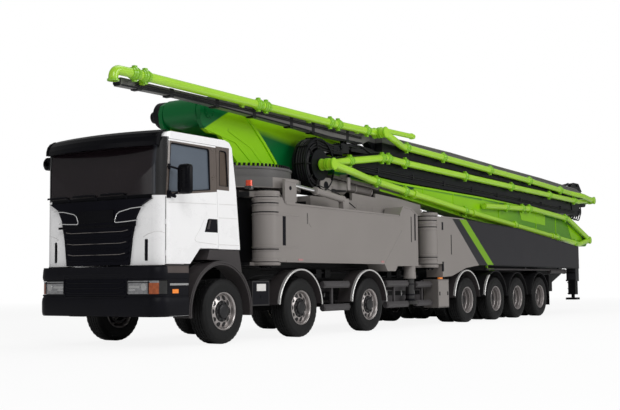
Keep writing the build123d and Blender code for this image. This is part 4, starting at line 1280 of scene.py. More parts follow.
@dataclass
class CabInside:
    """Seats and the dashboard's hood seen through the glass."""

    seat_x: float = 0.56
    seat_half: float = 0.24

    def build(self) -> None:
        """Make the cushions and the dashboard's hood."""
        for name, side in SIDES:
            x = side * self.seat_x
            for part, aft, height in (("base", (-0.49, 0.02), (1.86, 2.02)),
                    ("back", (-0.1, 0.05), (1.98, 2.62)), ("head", (-0.02, 0.08), (2.64, 2.8))):
                half = self.seat_half if part != "head" else 0.14
                made = Shape().block((x - half, x + half), aft, height).piece(f"seat_{part}_{name}",
                    SEAT)
                self.plump(made)
        Shape().block((-1.1, 1.1), (-1.16, -1.1), (2.12, 2.205)).piece("dashboard_hood", CAB_TRIM,
            bevel=0.02)

    @staticmethod
    def plump(cushion: bpy.types.Object) -> None:
        """Round a cushion into a crowned, stuffed form.

        Args:
            cushion: the object.
        """
        work = bmesh.new()
        work.from_mesh(cushion.data)
        bmesh.ops.subdivide_edges(work, edges=work.edges, cuts=4, use_grid_fill=True)
        work.to_mesh(cushion.data)
        work.free()
        edges = cushion.modifiers.new("piped_edges", "BEVEL")
        edges.width = 0.03
        edges.limit_method = "ANGLE"
        smooth = cushion.modifiers.new("stuffing", "SUBSURF")
        smooth.levels = smooth.render_levels = 2
        cushion.data.polygons.foreach_set("use_smooth", [True] * len(cushion.data.polygons))


# ---- chassis
@dataclass
class ChassisDetails:
    """Mudguard lips, guard tubes, side boxes, tanks and small plates."""

    guards: tuple[tuple[float, float, float, float], ...] = ((2.11, 0.645, 4, 174),
        (4.41, 0.645, 4, 174), (8.74, 0.655, 20, 172), (10.32, 0.655, 124, 172))
    tubes: tuple[tuple[float, float, float, float], ...] = ((2.85, 3.72, 0.885, 1.1925),
        (2.85, 3.72, 0.475, 1.1925), (5.1, 5.99, 0.885, 1.1925), (5.1, 5.99, 0.475, 1.1925),
        (6.5, 7.2, 0.86, 1.1075), (6.5, 7.2, 0.475, 1.1075))

    def build(self) -> None:
        """Make the chassis details."""
        self.guard_lips()
        self.guard_tubes()
        self.boxes()
        self.tail()
        self.pipes_under()

    def guard_lips(self) -> None:
        """Bright rims along the outer edges of four mudguards."""
        lips = Shape(both=True)
        for aft, radius, first, last in self.guards:
            count = max(4, int((last - first) / 5))
            arc = [at(1.243, aft + (radius + 0.002) * math.cos(a), WHEEL_RADIUS + (radius + 0.002)
                * math.sin(a)) for a in (math.radians(first + (last - first) * k / count)
                for k in range(count + 1))]
            inner = [at(1.2, p.y - FIRST_AXLE_Y, p.z) for p in arc]
            lips.tube(arc, 0.016, 10)
            for a, b, c, d in zip(arc, arc[1:], inner, inner[1:]):
                lips.mesh.faces.new([lips.mesh.verts.new(v + Vector((0, 0, 0.0125)))
                    for v in (a, b, d, c)])
        lips.piece("mudguard_lips", GUARD_LIP)

    def guard_tubes(self) -> None:
        """Rounded faces and end caps of the side guards."""
        tubes = Shape(both=True)
        caps = Shape(both=True)
        for start, end, height, x in self.tubes:
            tubes.lathe(((start, 0), (start, 0.05), (start + 0.012, 0.061), (end - 0.012, 0.061),
                (end, 0.05), (end, 0)), at(x - 0.012, 0, height), ALONG, 24)
            for aft in (start + 0.03, end - 0.03):
                caps.lathe(((-0.008, 0.0635), (0.008, 0.0635)), at(x - 0.012, aft, height), ALONG,
                    24)
        tubes.piece("side_guard_tubes", SIDE_PAINT)
        caps.piece("side_guard_bands", FENDER_TRIM)

    def boxes(self) -> None:
        """Lids, latches, plates and lamps of the side boxes."""
        latches = Shape(both=True)
        for box in (((1.189, 1.195), (0.81, 1.23), (0.58, 0.94)),
                ((1.248, 1.2555), (7.32, 7.36), (0.62, 0.7)), ((1.248, 1.2555), (7.7, 7.74),
                (0.62, 0.7))):
            latches.block(*box)
        latches.disc(at(1.197, 1.02, 0.7), ACROSS, 0.028, 0.01)
        Shape(both=True).block((1.244, 1.249), (7.295, 7.765), (0.385, 0.94)).piece("side_box_lids",
            STEEL_GREY, bevel=0.006)
        latches.piece("side_box_latches", TRIM, bevel=0.002)
        Shape(both=True).block((1.19, 1.245), (7.36, 7.5), (0.966, 1.004)).piece("side_box_lamps",
            AMBER, bevel=0.006)
        Shape(both=True).block((1.195, 1.199), (0.9, 1.145), (0.796, 0.91)).piece("blank_plates",
            WHITE_PLATE, bevel=0.001)
        Shape(both=True).lathe(((5.3, 0), (5.3, 0.185), (5.33, 0.2), (7, 0.2), (7.03, 0.185),
            (7.03, 0)), at(0.745, 0, 0.69), ALONG, 32).piece("air_tanks", DARK_FRAME)
        straps = Shape(both=True)
        for aft in (5.6, 6.2, 6.75):
            straps.lathe(((aft - 0.02, 0.203), (aft + 0.02, 0.203)), at(0.745, 0, 0.69), ALONG, 32)
        straps.piece("tank_straps", JACK_TUBE)

    def tail(self) -> None:
        """The hopper's grate, rear lamps and mudflaps."""
        grate = Shape()
        for step in range(11):
            x = -0.7 + 0.14 * step
            grate.rod(at(x, 14.26, 1.468), at(x, 16.24, 1.468), 0.01, 8)
        for aft in (14.6, 15.05, 15.5, 15.95):
            grate.rod(at(-0.755, aft, 1.455), at(0.755, aft, 1.455), 0.012, 8)
        grate.piece("hopper_grate", STEEL_GREY)
        corners = ((-0.785, 14.225), (0.785, 14.225), (0.785, 16.275), (-0.785, 16.275))
        Shape().tube([at(x, aft, 1.478) for x, aft in corners], 0.018, 10, 0.05,
            True).piece("hopper_rim", DARK_FRAME)
        flaps = Shape(both=True)
        flaps.block((0.62, 1.23), (13.842, 13.856), (0.27, 1.06))
        flaps.block((0.8, 1.16), (14.02, 14.26), (0.62, 1.02))
        flaps.piece("rear_mudflaps", DARK_FRAME, bevel=0.006)
        Shape(both=True).block((0.42, 1.22), (13.86, 13.9), (0.96, 1.02)).piece("mudflap_stays",
            DARK_FRAME, bevel=0.004)
        Shape(both=True).block((0.84, 0.98), (14.26, 14.285), (0.8, 0.94)).piece("rear_lamp_lenses",
            RED_LENS, bevel=0.006)

    def pipes_under(self) -> None:
        """Hydraulic lines and brackets that show below the front outriggers."""
        lines = Shape(both=True)
        for height, start, end in ((1.05, 1.2, 3.3), (1.1, 3, 5.2), (1.03, 5.4, 7.2),
                (0.98, 1.3, 1.9)):
            lines.tube([at(0.62, start, height - 0.1), at(0.88, start + 0.15, height),
                at(0.92, end - 0.2, height + 0.01), at(0.7, end, height - 0.08)], 0.016, 10, 0.12)
        lines.piece("hydraulic_lines", HOSE)
        valves = Shape(both=True)
        for aft in (3.05, 3.35, 5.65, 6.05):
            valves.block((0.7, 0.93), (aft, aft + 0.18), (1, 1.16))
        valves.piece("valve_blocks", DARK_FRAME, bevel=0.01)


# ---- outriggers
@dataclass
class Outrigger:
    """One outrigger: barrel bands, flanges, reflectors and, in front, its swing cylinder."""

    name: str
    side: int
    front: bool

    @property
    def body(self) -> str:
        """The CAD body that this outrigger is."""
        return f"{'front' if self.front else 'rear'}_leg_{self.name}"

    @property
    def pivot(self) -> Pair:
        """(X, aft) of the upright pivot."""
        x, aft = FRONT_PIVOT if self.front else REAR_PIVOT
        return self.side * x, aft

    def faces(self, sunk: float, proud: float) -> Pair:
        """X of a plate's two faces: one sunk in the outer skin, one standing proud of it."""
        skin = self.side * (1.245 if self.front else 1.25)
        return skin - self.side * sunk, skin + self.side * proud

    def build(self) -> None:
        """Make the pieces of this outrigger."""
        self.bands()
        if self.front:
            self.front_skin()
            self.swing_cylinder()
            self.front_jack_clamps()
        else:
            self.rear_skin()
            self.rear_jack_steps()

    def bands(self) -> None:
        """Raised rings about the pivot barrel."""
        radius = 0.236 if self.front else 0.216
        heights = ((2.318, 0.05), (2.215, 0.022), (2.06, 0.03), (1.52, 0.03), (1.455, 0.014),
            (1.3, 0.05)) if self.front else ((2.27, 0.05), (2.15, 0.02), (2.02, 0.03), (1.47, 0.03),
            (1.39, 0.02), (1.312, 0.04))
        bands = Shape()
        for height, thick in heights:
            bands.lathe(((-thick / 2, radius - 0.004), (-thick / 2 + 0.004, radius + 0.009),
                (thick / 2 - 0.004, radius + 0.009), (thick / 2, radius - 0.004)),
                at(*self.pivot, height), UP, 64)
        bands.piece("_bands", STEEL_GREY, self.body)
        gaps = Shape()
        for height in ((2.345, 2.245, 2.095, 1.48, 1.275) if self.front
                else (2.305, 2.215, 2.075, 1.43, 1.288)):
            gaps.lathe(((-0.01, radius - 0.002), (-0.008, radius + 0.002), (0.008, radius + 0.002),
                (0.01, radius - 0.002)), at(*self.pivot, height), UP, 64)
        gaps.piece("_barrel_gaps", TRIM, self.body)

    def front_skin(self) -> None:
        """Flanges, slots and plates of a front outrigger."""
        skin = self.faces(0, 0.001)[1]
        flange = Shape()
        flange.prism(((1.66, 2.272), (5.6, 2.248), (5.6, 2.222), (1.66, 2.236)),
            *self.faces(0.02, 0.01))
        flange.prism(((1.66, 1.3), (4.98, 1.288), (4.98, 1.262), (1.66, 1.268)),
            *self.faces(0.02, 0.008))
        flange.prism(((5.63, 2.26), (5.77, 2.435), (6.11, 2.412), (6.41, 2.285), (6.395, 2.262),
            (6.1, 2.388), (5.785, 2.408), (5.655, 2.245)), *self.faces(0.02, 0.008))
        for height in (2.06, 1.52):
            flange.prism(((1.42, height + 0.018), (2.05, height + 0.012), (2.05, height - 0.012),
                (1.42, height - 0.018)), *self.faces(0.02, 0.004))
        flange.piece("_flanges", STEEL_GREY, self.body, 0.003)
        gap = Shape().block(self.faces(0.01, 0.0022), (1.565, 1.655), (1.545, 2.035))
        gap.block(self.faces(0.01, 0.0015), (6.095, 6.125), (1.72, 2.24))
        gap.block(self.faces(0.01, 0.0022), (6.245, 6.3), (1.76, 2.3))
        gap.block(self.faces(0.01, 0.0015), (2.3, 2.315), (1.93, 2.12))
        gap.piece("_slots", TRIM, self.body, 0.001)
        seam = Shape().tube([at(skin, 5.72, 1.95), at(skin, 5.02, 1.3)], 0.005, 8)
        seam.run(skin, ((2.315, 2.12), (2.35, 1.95), (2.43, 1.88)), 0.004, 8, 0.1)
        seam.piece("_weld_seams", STEEL_GREY, self.body)
        reflectors = Shape().block(self.faces(0, 0.004), (2.02, 2.16), (1.268, 1.33))
        reflectors.block(self.faces(0, 0.004), (4.86, 4.97), (1.268, 1.33))
        reflectors.piece("_reflectors", PINK_REFLECTOR, self.body)
        tab = Shape().block(self.faces(0.045, 0.006), (1.65, 1.94), (2.62, 2.665))
        tab.block(self.faces(0.045, 0.012), (1.66, 1.93), (2.245, 2.29))
        tab.piece("_tab_edges", STEEL_GREY, self.body, 0.004)
        Shape().disc(at(skin, 1.8, 2.52), ACROSS, 0.035, 0.006).piece("_tab_hole", TRIM, self.body)

    def swing_cylinder(self) -> None:
        """The cylinder that lies on top of a front outrigger and swings it."""
        x = self.side * 1.13
        eye = at(x, 2.02, 2.6)
        neck = at(x, 2.72, 2.545)
        end = at(x, 3.66, 2.445)
        Shape().rod(eye, neck, 0.034, 24).piece("_swing_rod", CHROME, self.body)
        axis = end - neck
        barrel = Shape().lathe(((0, 0), (0, 0.072), (0.06, 0.072), (0.065, 0.062),
            (axis.length - 0.07, 0.062), (axis.length - 0.06, 0.074), (axis.length, 0.07),
            (axis.length, 0)), neck, axis, 32)
        barrel.disc(eye, UP, 0.065, 0.07, 24)
        barrel.block((x - 0.05, x + 0.05), (3.6, 3.8), (2.25, 2.46))
        barrel.block((x - 0.05, x + 0.05), (1.93, 2.08), (2.3, 2.56))
        barrel.piece("_swing_barrel", STEEL_GREY, self.body)
        lines = Shape().tube([neck + Vector((0, 0.05, 0.07)), neck + Vector((0, 0.1, 0.11)), end
            + Vector((0, -0.15, 0.1)), end + Vector((0, 0.05, 0.02)), end
            + Vector((0, 0.45, -0.13))], 0.01, 8, 0.05)
        lines.piece("_swing_hose", HOSE, self.body)

    def front_jack_clamps(self) -> None:
        """Sleeve and clamps of a front jack."""
        body = f"front_jack_{self.name}"
        centre = Vector((*middle(body).xy, 0))
        clamps = Shape()
        for low, high, radius in ((0.53, 0.575, 0.102), (0.64, 0.67, 0.094), (0.86, 0.88, 0.092)):
            clamps.lathe(((low, 0.086), (low, radius), (high, radius), (high, 0.086)), centre, UP,
                40)
        clamps.piece("_clamps", TRIM, body)
        Shape().lathe(((0.985, 0.118), (0.985, 0.128), (1.02, 0.132), (1.05, 0.128), (1.12, 0.124),
            (1.12, 0.118)), centre, UP, 40).piece("_jack_collar", STEEL_GREY, self.body)

    def rear_skin(self) -> None:
        """Flanges, slots and the guard rail of a rear outrigger."""
        Shape().prism(((7.5, 2.318), (8.6, 2.312), (8.6, 2.288), (7.5, 2.29)),
            *self.faces(0.02, 0.008)).piece("_flanges", STEEL_GREY, self.body, 0.003)
        dark = Shape()
        dark.prism(((9.9, 1.292), (16.19, 1.256), (16.19, 1.236), (9.9, 1.27)),
            *self.faces(0.02, 0.007))
        dark.prism(((9.4, 2.283), (11.9, 2.208), (16.19, 1.862), (16.19, 1.84), (11.9, 2.186),
            (9.4, 2.262)), *self.faces(0.02, 0.005))
        dark.piece("_lower_flange", BOOM_DARK, self.body, 0.002)
        slot = Shape().block(self.faces(0.01, 0.0018), (7.925, 7.96), (1.5, 1.93))
        slot.block(self.faces(0.01, 0.0022), (7.485, 7.56), (2.02, 2.19))
        slot.block(self.faces(0.01, 0.0022), (7.485, 7.56), (1.13, 1.34))
        slot.piece("_slots", TRIM, self.body, 0.001)
        rail = Shape().tube([at(self.side * 1.185, 9.95, 1.19), at(self.side * 1.185, 14.2, 1.19)],
            0.024, 14)
        rail.rod(at(self.side * 1.17, 14.04, 1.152), at(self.side * 1.17, 15.19, 1.152), 0.058, 24)
        rail.rod(at(self.side * 1.17, 15.1, 1.152), at(self.side * 1.17, 15.2, 1.152), 0.068, 24)
        rail.piece("_rail", FENDER_TRIM, self.body)

    def rear_jack_steps(self) -> None:
        """Steps and foot ribs of a rear jack."""
        body = f"rear_jack_{self.name}"
        centre = middle(body)
        x, aft = centre.x, 16.04
        steps = Shape()
        for height, half in ((0.83, 0.112), (0.66, 0.108), (0.52, 0.112)):
            steps.block((x - half, x + half), (aft - half, aft + half), (height, height + 0.03))
        steps.piece("_steps", DARK_FRAME, body, 0.006)
        collar = Shape()
        for height in (0.885, 1.1):
            for sx, sy in ((1, 0), (-1, 0), (0, 1), (0, -1)):
                cx, cy = x + sx * 0.13, aft + sy * 0.13
                wide = 0.012 if sx else 0.14
                deep = 0.012 if sy else 0.14
                collar.block((cx - wide, cx + wide), (cy - deep, cy + deep),
                    (height, height + 0.04))
        collar.piece("_jack_collar", DARK_FRAME, self.body, 0.003)


@dataclass
class OutriggerFrameDetails:
    """Deck plates, pin caps and bands, the dark intake and the slewing ring's bolts and bands of
    the fixed outrigger frame.
    """

    def build(self) -> None:
        """Make the fixed frame's details."""
        caps = Shape(both=True)
        for x, aft, heights in ((*FRONT_PIVOT, (2.445, 1.215)), (*REAR_PIVOT, (2.38, 1.215))):
            for height, depth in zip(heights, (0.03, -0.03)):
                centre = at(x, aft, height + depth / 2)
                caps.disc(centre, UP, 0.115, 0.03, 32)
                for step in range(6):
                    turn = math.pi * step / 3
                    spot = centre + Vector((math.cos(turn), math.sin(turn), 0)) * 0.088
                    caps.disc(spot + Vector((0, 0, depth * 0.7)), UP, 0.012, 0.018, 6)
        caps.piece("outrigger_pin_caps", DARK_FRAME)
        bands = Shape(both=True)
        for x, aft, radius, low, high in ((*FRONT_PIVOT, 0.235, 2.352, 2.445),
                (*FRONT_PIVOT, 0.235, 1.215, 1.268), (*REAR_PIVOT, 0.215, 2.312, 2.38),
                (*REAR_PIVOT, 0.215, 1.215, 1.278)):
            mid = (low + high) / 2
            bands.lathe(((mid - 0.012, radius), (mid - 0.008, radius + 0.008),
                (mid + 0.008, radius + 0.008), (mid + 0.012, radius)), at(x, aft, 0), UP, 64)
        bands.piece("outrigger_lug_bands", STEEL_GREY)
        grid = Shape(both=True)
        for step in range(12):
            z = 1.36 + 0.08 * step
            grid.block((0.61, 0.775), (0.5, 0.515), (z, z + 0.03))
        Shape(both=True).block((0.6, 0.785), (0.512, 0.53), (1.3, 2.34)).piece("intake_panels",
            TRIM, bevel=0.004)
        grid.piece("intake_slats", DARK_FRAME, bevel=0.004)
        deck = Shape(both=True)
        deck.block((0.5, 0.6), (4.4, 6.5), (2.545, 2.565))
        for aft in (4.7, 5.3, 5.9):
            deck.block((0.798, 0.806), (aft, aft + 0.35), (2.2, 2.42))
        deck.prism(((5.45, 2.58), (5.45, 2.695), (6.4, 2.655), (7, 2.605), (7.4, 2.575),
            (7.4, 2.45), (6.4, 2.47)), 0.752, 0.796)
        deck.piece("deck_panels", STEEL_GREY, bevel=0.004)
        ring = Shape()
        centre = at(0, 1.95, 0)
        for step in range(72):
            turn = 2 * math.pi * step / 72
            spot = centre + Vector((math.cos(turn) * 0.915, math.sin(turn) * 0.915, 2.925))
            ring.disc(spot, UP, 0.022, 0.055, 8)
        ring.piece("slewing_ring_bolts", TRIM, slot="chassis_black")
        bands = Shape()
        for low, high, radius in ((2.715, 2.745, 0.965), (2.86, 2.895, 0.968)):
            bands.lathe(((low, 0.945), (low, radius), (high, radius), (high, 0.945)), centre, UP,
                96)
        bands.piece("slewing_ring_bands", SHADED_RING_PAINT)


# ---- boom
@dataclass
class DeliveryLine:
    """The couplings on one run of the concrete delivery line."""

    name: str
    body: str
    route: Outline
    couplings: tuple[float, ...]
    x: float = 0.905
    radius: float = 0.07

    def spot(self, aft: float) -> tuple[Vector, Vector]:
        """The place and direction of the line at a distance aft.

        Args:
            aft: distance behind the first axle.

        Returns:
            The point on the line's centre and the line's direction there.
        """
        for first, last in zip(self.route, self.route[1:]):
            if min(first[0], last[0]) <= aft <= max(first[0], last[0]) and first[0] != last[0]:
                share = (aft - first[0]) / (last[0] - first[0])
                start, end = at(self.x, *first), at(self.x, *last)
                return start.lerp(end, share), (end - start).normalized()
        raise ValueError(f"{self.name} has no station {aft}")

    def build(self) -> None:
        """Make the couplings: two flanges, a clamp and its bolt each."""
        shape = Shape()
        radius = self.radius
        for aft in self.couplings:
            centre, along = self.spot(aft)
            shape.lathe(((-0.085, radius), (-0.08, radius + 0.012), (-0.045, radius + 0.014),
                (-0.038, radius + 0.026), (-0.012, radius + 0.03), (-0.01, radius + 0.022),
                (0.01, radius + 0.022), (0.012, radius + 0.03), (0.038, radius + 0.026),
                (0.045, radius + 0.014), (0.08, radius + 0.012), (0.085, radius)), centre, along,
                32)
            for direction in (1, -1):
                spot = centre + UP * direction * (radius + 0.032)
                shape.box(spot - Vector((0.028, 0.03, 0.016)), spot + Vector((0.028, 0.03, 0.016)))
        shape.piece(f"{self.name}_couplings", CLAMP_PAINT, self.body)


@dataclass
class BoomDetails:
    """Flanges, pins, plates, linkages and hoses of the folding boom."""

    lines: tuple[DeliveryLine, ...] = (
        DeliveryLine("line_1", "boom_1", ((2, 3.7), (5.2, 3.365), (17, 2.2)),
            (2.4, 5.6, 8.6, 11.6, 14.6, 16.8), -0.53),
        DeliveryLine("line_2_lower", "boom_2", ((5, 2.945), (9.42, 2.543), (17.25, 1.965)),
            (5.3, 6.495, 9.41, 12.4, 15.425, 16.9)),
        DeliveryLine("line_2_upper", "boom_2", ((10.5, 2.72), (13.6, 2.815), (16.37, 2.673)),
            (11.84, 12.9, 13.38, 16.1)),
        DeliveryLine("line_3", "boom_3", ((4.12, 3.215), (5.67, 3.43), (6.52, 3.4), (12.26, 3.31),
            (17.3, 3.232)), (4.3, 5.55, 5.8, 6.52, 9.455, 12.2, 14.89, 16.9)),
        DeliveryLine("line_4", "boom_4", ((6.4, 3.738), (13.5, 3.558), (16.5, 3.438)),
            (6.6, 8.32, 10.9, 13.45, 15.77)),
        DeliveryLine("line_5", "boom_5", ((-1.7, 3.955), (3.8, 3.89), (5.35, 3.9)),
            (-1.63, -1.41, 1.36, 1.58, 3.607, 3.885, 4.95)))
    hinge_2: Pair = (3.4, 3.09)
    hinge_3: Pair = (18.12, 3.305)
    hinge_4: Pair = (5.35, 3.9)

    def build(self) -> None:
        """Make the boom's details."""
        for line in self.lines:
            line.build()
        self.swivels()
        self.pins()
        self.section_1()
        self.section_2()
        self.section_3()
        self.sections_4_and_5()
        self.hinge_2_hoses()
        self.tail_linkage()
        self.turret()
        self.tip()

    def swivels(self) -> None:
        """Grooves and flanges on the swivel joints of the delivery line."""
        for name, body, x, hinge in (("swivel_2_outer", "boom_2", 1.0625, self.hinge_2),
                ("swivel_2_inner", "boom_3", 0.905, self.hinge_2),
                ("swivel_3_outer", "boom_4", 1.0625, self.hinge_3),
                ("swivel_3_inner", "boom_3", 0.905, self.hinge_3),
                ("swivel_4_outer", "boom_4", 1.0625, self.hinge_4),
                ("swivel_4_inner", "boom_5", 0.905, self.hinge_4),
                ("swivel_1", "boom_2", 0.905, TAIL_PIN)):
            rings = Shape()
            for shift in (-0.055, 0.05):
                rings.lathe(((shift - 0.012, 0.098), (shift - 0.01, 0.112), (shift + 0.01, 0.112),
                    (shift + 0.012, 0.098)), at(x, *hinge), ACROSS, 40)
            rings.piece(f"{name}_rings", CLAMP_PAINT, body)

    def pins(self) -> None:
        """Caps and keeper plates on the hinge pins."""
        for name, body, x, hinge, radius in (("pin_1_cap", "boom_1", 0.812, TAIL_PIN, 0.085),
                ("pin_2_cap", "boom_2", 0.812, self.hinge_2, 0.075),
                ("pin_3_cap", "boom_3", 0.812, self.hinge_3, 0.075),
                ("pin_4_cap", "boom_4", 0.812, self.hinge_4, 0.055)):
            Shape().disc(at(x + 0.006, *hinge), ACROSS, radius, 0.012, 32).piece(name, DARK_FRAME,
                body)
        caps = Shape(both=True)
        aft, height = MAIN_PIN
        caps.disc(at(0.456, *MAIN_PIN), ACROSS, 0.125, 0.016, 40)
        for step in range(8):
            turn = math.pi * step / 4
            caps.disc(at(0.468, aft + 0.095 * math.cos(turn), height + 0.095 * math.sin(turn)),
                ACROSS, 0.013, 0.014, 6)
        caps.piece("main_pin_caps", TURRET_PAINT, "turret")

    @staticmethod
    def ribbon(outline: Sequence[Pair], drop: float) -> list[Pair]:
        """A strip that follows a line of (aft, height) points and reaches down from it."""
        return list(outline) + [(aft, height - drop) for aft, height in reversed(outline)]

    def section_1(self) -> None:
        """Flanges, side ribs and hose run of the largest section."""
        flanges = Shape(both=True)
        near, far = 0.345, 0.362
        flanges.prism(self.ribbon(((0.62, 4.007), (1.5, 3.997), (3.4, 3.832), (4.8, 3.722),
            (17.8, 2.332)), 0.05), near, far)
        flanges.prism(self.ribbon(((3.7, 3.202), (4.4, 3.152), (5.2, 3.095), (17.6, 1.985)), 0.045),
            near, far)
        for aft, top, bottom in ((6.2, 3.54, 2.96), (9.2, 3.22, 2.7), (12.2, 2.9, 2.43),
                (15.2, 2.58, 2.17)):
            flanges.prism(((aft, top), (aft + 0.03, top), (aft + 0.03, bottom), (aft, bottom)),
                near, far)
        flanges.piece("boom_1_flanges", BOOM_LIME, "boom_1", 0.004)
        plates = Shape(both=True)
        plates.disc(at(0.3555, *MAIN_PIN), ACROSS, 0.225, 0.012, 48)
        plates.disc(at(0.3555, *TAIL_PIN), ACROSS, 0.16, 0.012, 48)
        plates.piece("boom_1_hinge_plates", BOOM_1_PAINT, "boom_1")
        lines = Shape()
        for shift in (0, 0.045, 0.09):
            lines.run(-0.25 + shift, ((1, 4.022), (3.4, 3.852), (4.8, 3.747), (17.6, 2.377)), 0.014,
                8, 0.3)
        lines.piece("boom_1_hydraulic_lines", HOSE, "boom_1")
        self.belly_hoses()

    @staticmethod
    def belly_hoses() -> None:
        """The hoses that hang under the root of section 1."""
        bundle = Shape()
        for level in (0, 0.065, 0.13, 0.195):
            for column in range(8):
                x = -0.27 + 0.077 * column + (0.035 if level in (0.065, 0.195) else 0)
                bundle.run(x, ((3.26 + level * 0.5, 3.02), (3.24 + level * 0.5, 2.84 + level),
                    (3.5, 2.7 + level), (4.6, 2.69 + level), (6.3, 2.7 + level * 0.7), (7.2, 2.87)),
                    0.034, 8, 0.16)
        bundle.piece("boom_1_belly_hoses", HOSE, "boom_1")

    def section_2(self) -> None:
        """Flanges, ribs and the pipe's support post of section 2."""
        flanges = Shape()
        near, far = 0.796, 0.812
        flanges.prism(self.ribbon(((3.9, 3.058), (5, 3.052), (6.5, 2.987), (10.5, 2.947),
            (12.4, 2.902), (15.9, 2.802), (16.83, 2.642)), 0.045), near, far)
        flanges.prism(self.ribbon(((5.6, 2.8), (6.5, 2.733), (9.6, 2.443), (17.5, 1.968)), 0.043),
            near, far)
        for aft, top, bottom in ((7.5, 2.94, 2.63), (9, 2.92, 2.49), (11.6, 2.88, 2.32),
                (14.1, 2.81, 2.17), (15.6, 2.77, 2.08), (17, 2.56, 2)):
            flanges.prism(((aft, top), (aft + 0.03, top), (aft + 0.03, bottom), (aft, bottom)),
                near, far)
        flanges.piece("boom_2_flanges", BOOM_LIME, "boom_2", 0.003)
        plates = Shape()
        plates.prism(((12.9, 2.84), (14.8, 2.7), (14.8, 2.42), (13.1, 2.5)), 0.798, 0.808)
        plates.prism(((16.6, 2.52), (17.6, 2.36), (17.9, 2.06), (16.9, 2.1)), 0.798, 0.81)
        plates.piece("boom_2_plates", BOOM_LIME, "boom_2", 0.004)
        post = Shape().block((0.945, 0.975), (4.1, 4.2), (2.66, 3.12))
        post.block((0.8, 0.975), (4.1, 4.2), (2.9, 2.96))
        post.piece("line_support_post", STEEL_GREY, "boom_2", 0.004)
        cylinder = Shape()
        start, end = at(0.64, 3.66, 2.8072), at(0.64, 5.45, 2.725)
        run = end - start
        for along in (0.02, 0.35, 1.15, run.length - 0.04):
            cylinder.lathe(((along - 0.02, 0.094), (along - 0.018, 0.106), (along + 0.018, 0.106),
                (along + 0.02, 0.094)), start, run, 40)
        cylinder.rod(at(0.64, 3.66, 2.755), at(0.64, 4.38, 2.735), 0.148, 40)
        cylinder.prism(((3.4, 2.66), (3.44, 2.6), (3.52, 2.575), (3.72, 2.575), (3.78, 2.61),
            (3.8, 2.82), (3.74, 2.87), (3.5, 2.87), (3.42, 2.83)), 0.785, 0.806)
        cylinder.piece("fold_cylinder_bands", STEEL_GREY, "boom_2")
        Shape().disc(at(0.807, 3.6, 2.725), ACROSS, 0.075, 0.006, 28).piece("fold_cylinder_eye",
            TRIM, "boom_2")
        Shape().tube([at(0.75, 3.62, 2.72), at(0.8, 3.5, 2.62), at(0.8, 3.36, 2.68),
            at(0.8, 3.33, 2.9), at(0.78, 3.5, 3)], 0.014, 8, 0.12).piece("fold_cylinder_hose", HOSE,
            "boom_2")

    def section_3(self) -> None:
        """Flanges, clips and small lines of section 3."""
        flanges = Shape()
        near, far = 0.796, 0.811
        flanges.prism(self.ribbon(((3.9, 3.288), (5, 3.441), (6.5, 3.471), (9.7, 3.441),
            (12.5, 3.391), (15.1, 3.341), (17.4, 3.292)), 0.035), near, far)
        flanges.prism(self.ribbon(((4, 3.13), (5, 3.125), (6.5, 3.055), (10.5, 3.015),
            (12.4, 2.975), (15.9, 2.875), (17.4, 2.86)), 0.035), near, far)
        flanges.piece("boom_3_flanges", BOOM_DARK, "boom_3", 0.003)
        lines = Shape()
        for drop in (0, 0.04):
            lines.run(0.815, ((4.2, 3.2 - drop), (6.5, 3.17 - drop), (12.4, 3.07 - drop),
                (17.2, 2.95 - drop)), 0.012, 8, 0.3)
        for aft in (5.5, 7, 8.5, 10, 11.5, 13, 14.5, 16):
            height = 3.17 - (aft - 6.5) * 0.0178 if aft > 6.5 else 3.18
            lines.block((0.8, 0.832), (aft, aft + 0.05), (height - 0.065, height + 0.03))
        lines.piece("boom_3_hydraulic_lines", HOSE, "boom_3")
        links = Shape()
        for near, far in ((0.655, 0.69), (0.745, 0.78)):
            links.prism(((3.92, 3.34), (3.95, 3.52), (4.25, 3.56), (4.45, 3.46), (4.3, 3.385)),
                near, far)
        links.disc(at(0.72, 4.18, 3.5), ACROSS, 0.045, 0.19, 24)
        links.prism(((4.3, 3.5), (4.75, 3.575), (5.35, 3.57), (5.35, 3.47), (4.6, 3.44)), 0.5, 0.62)
        links.piece("fold_links_2", BOOM_DARK, "boom_4", 0.006)
        Shape().rod(at(0.72, 4.18, 3.5), at(0.72, 3.6, 3.335), 0.026, 20).piece("fold_link_rod",
            JACK_TUBE, "boom_4")

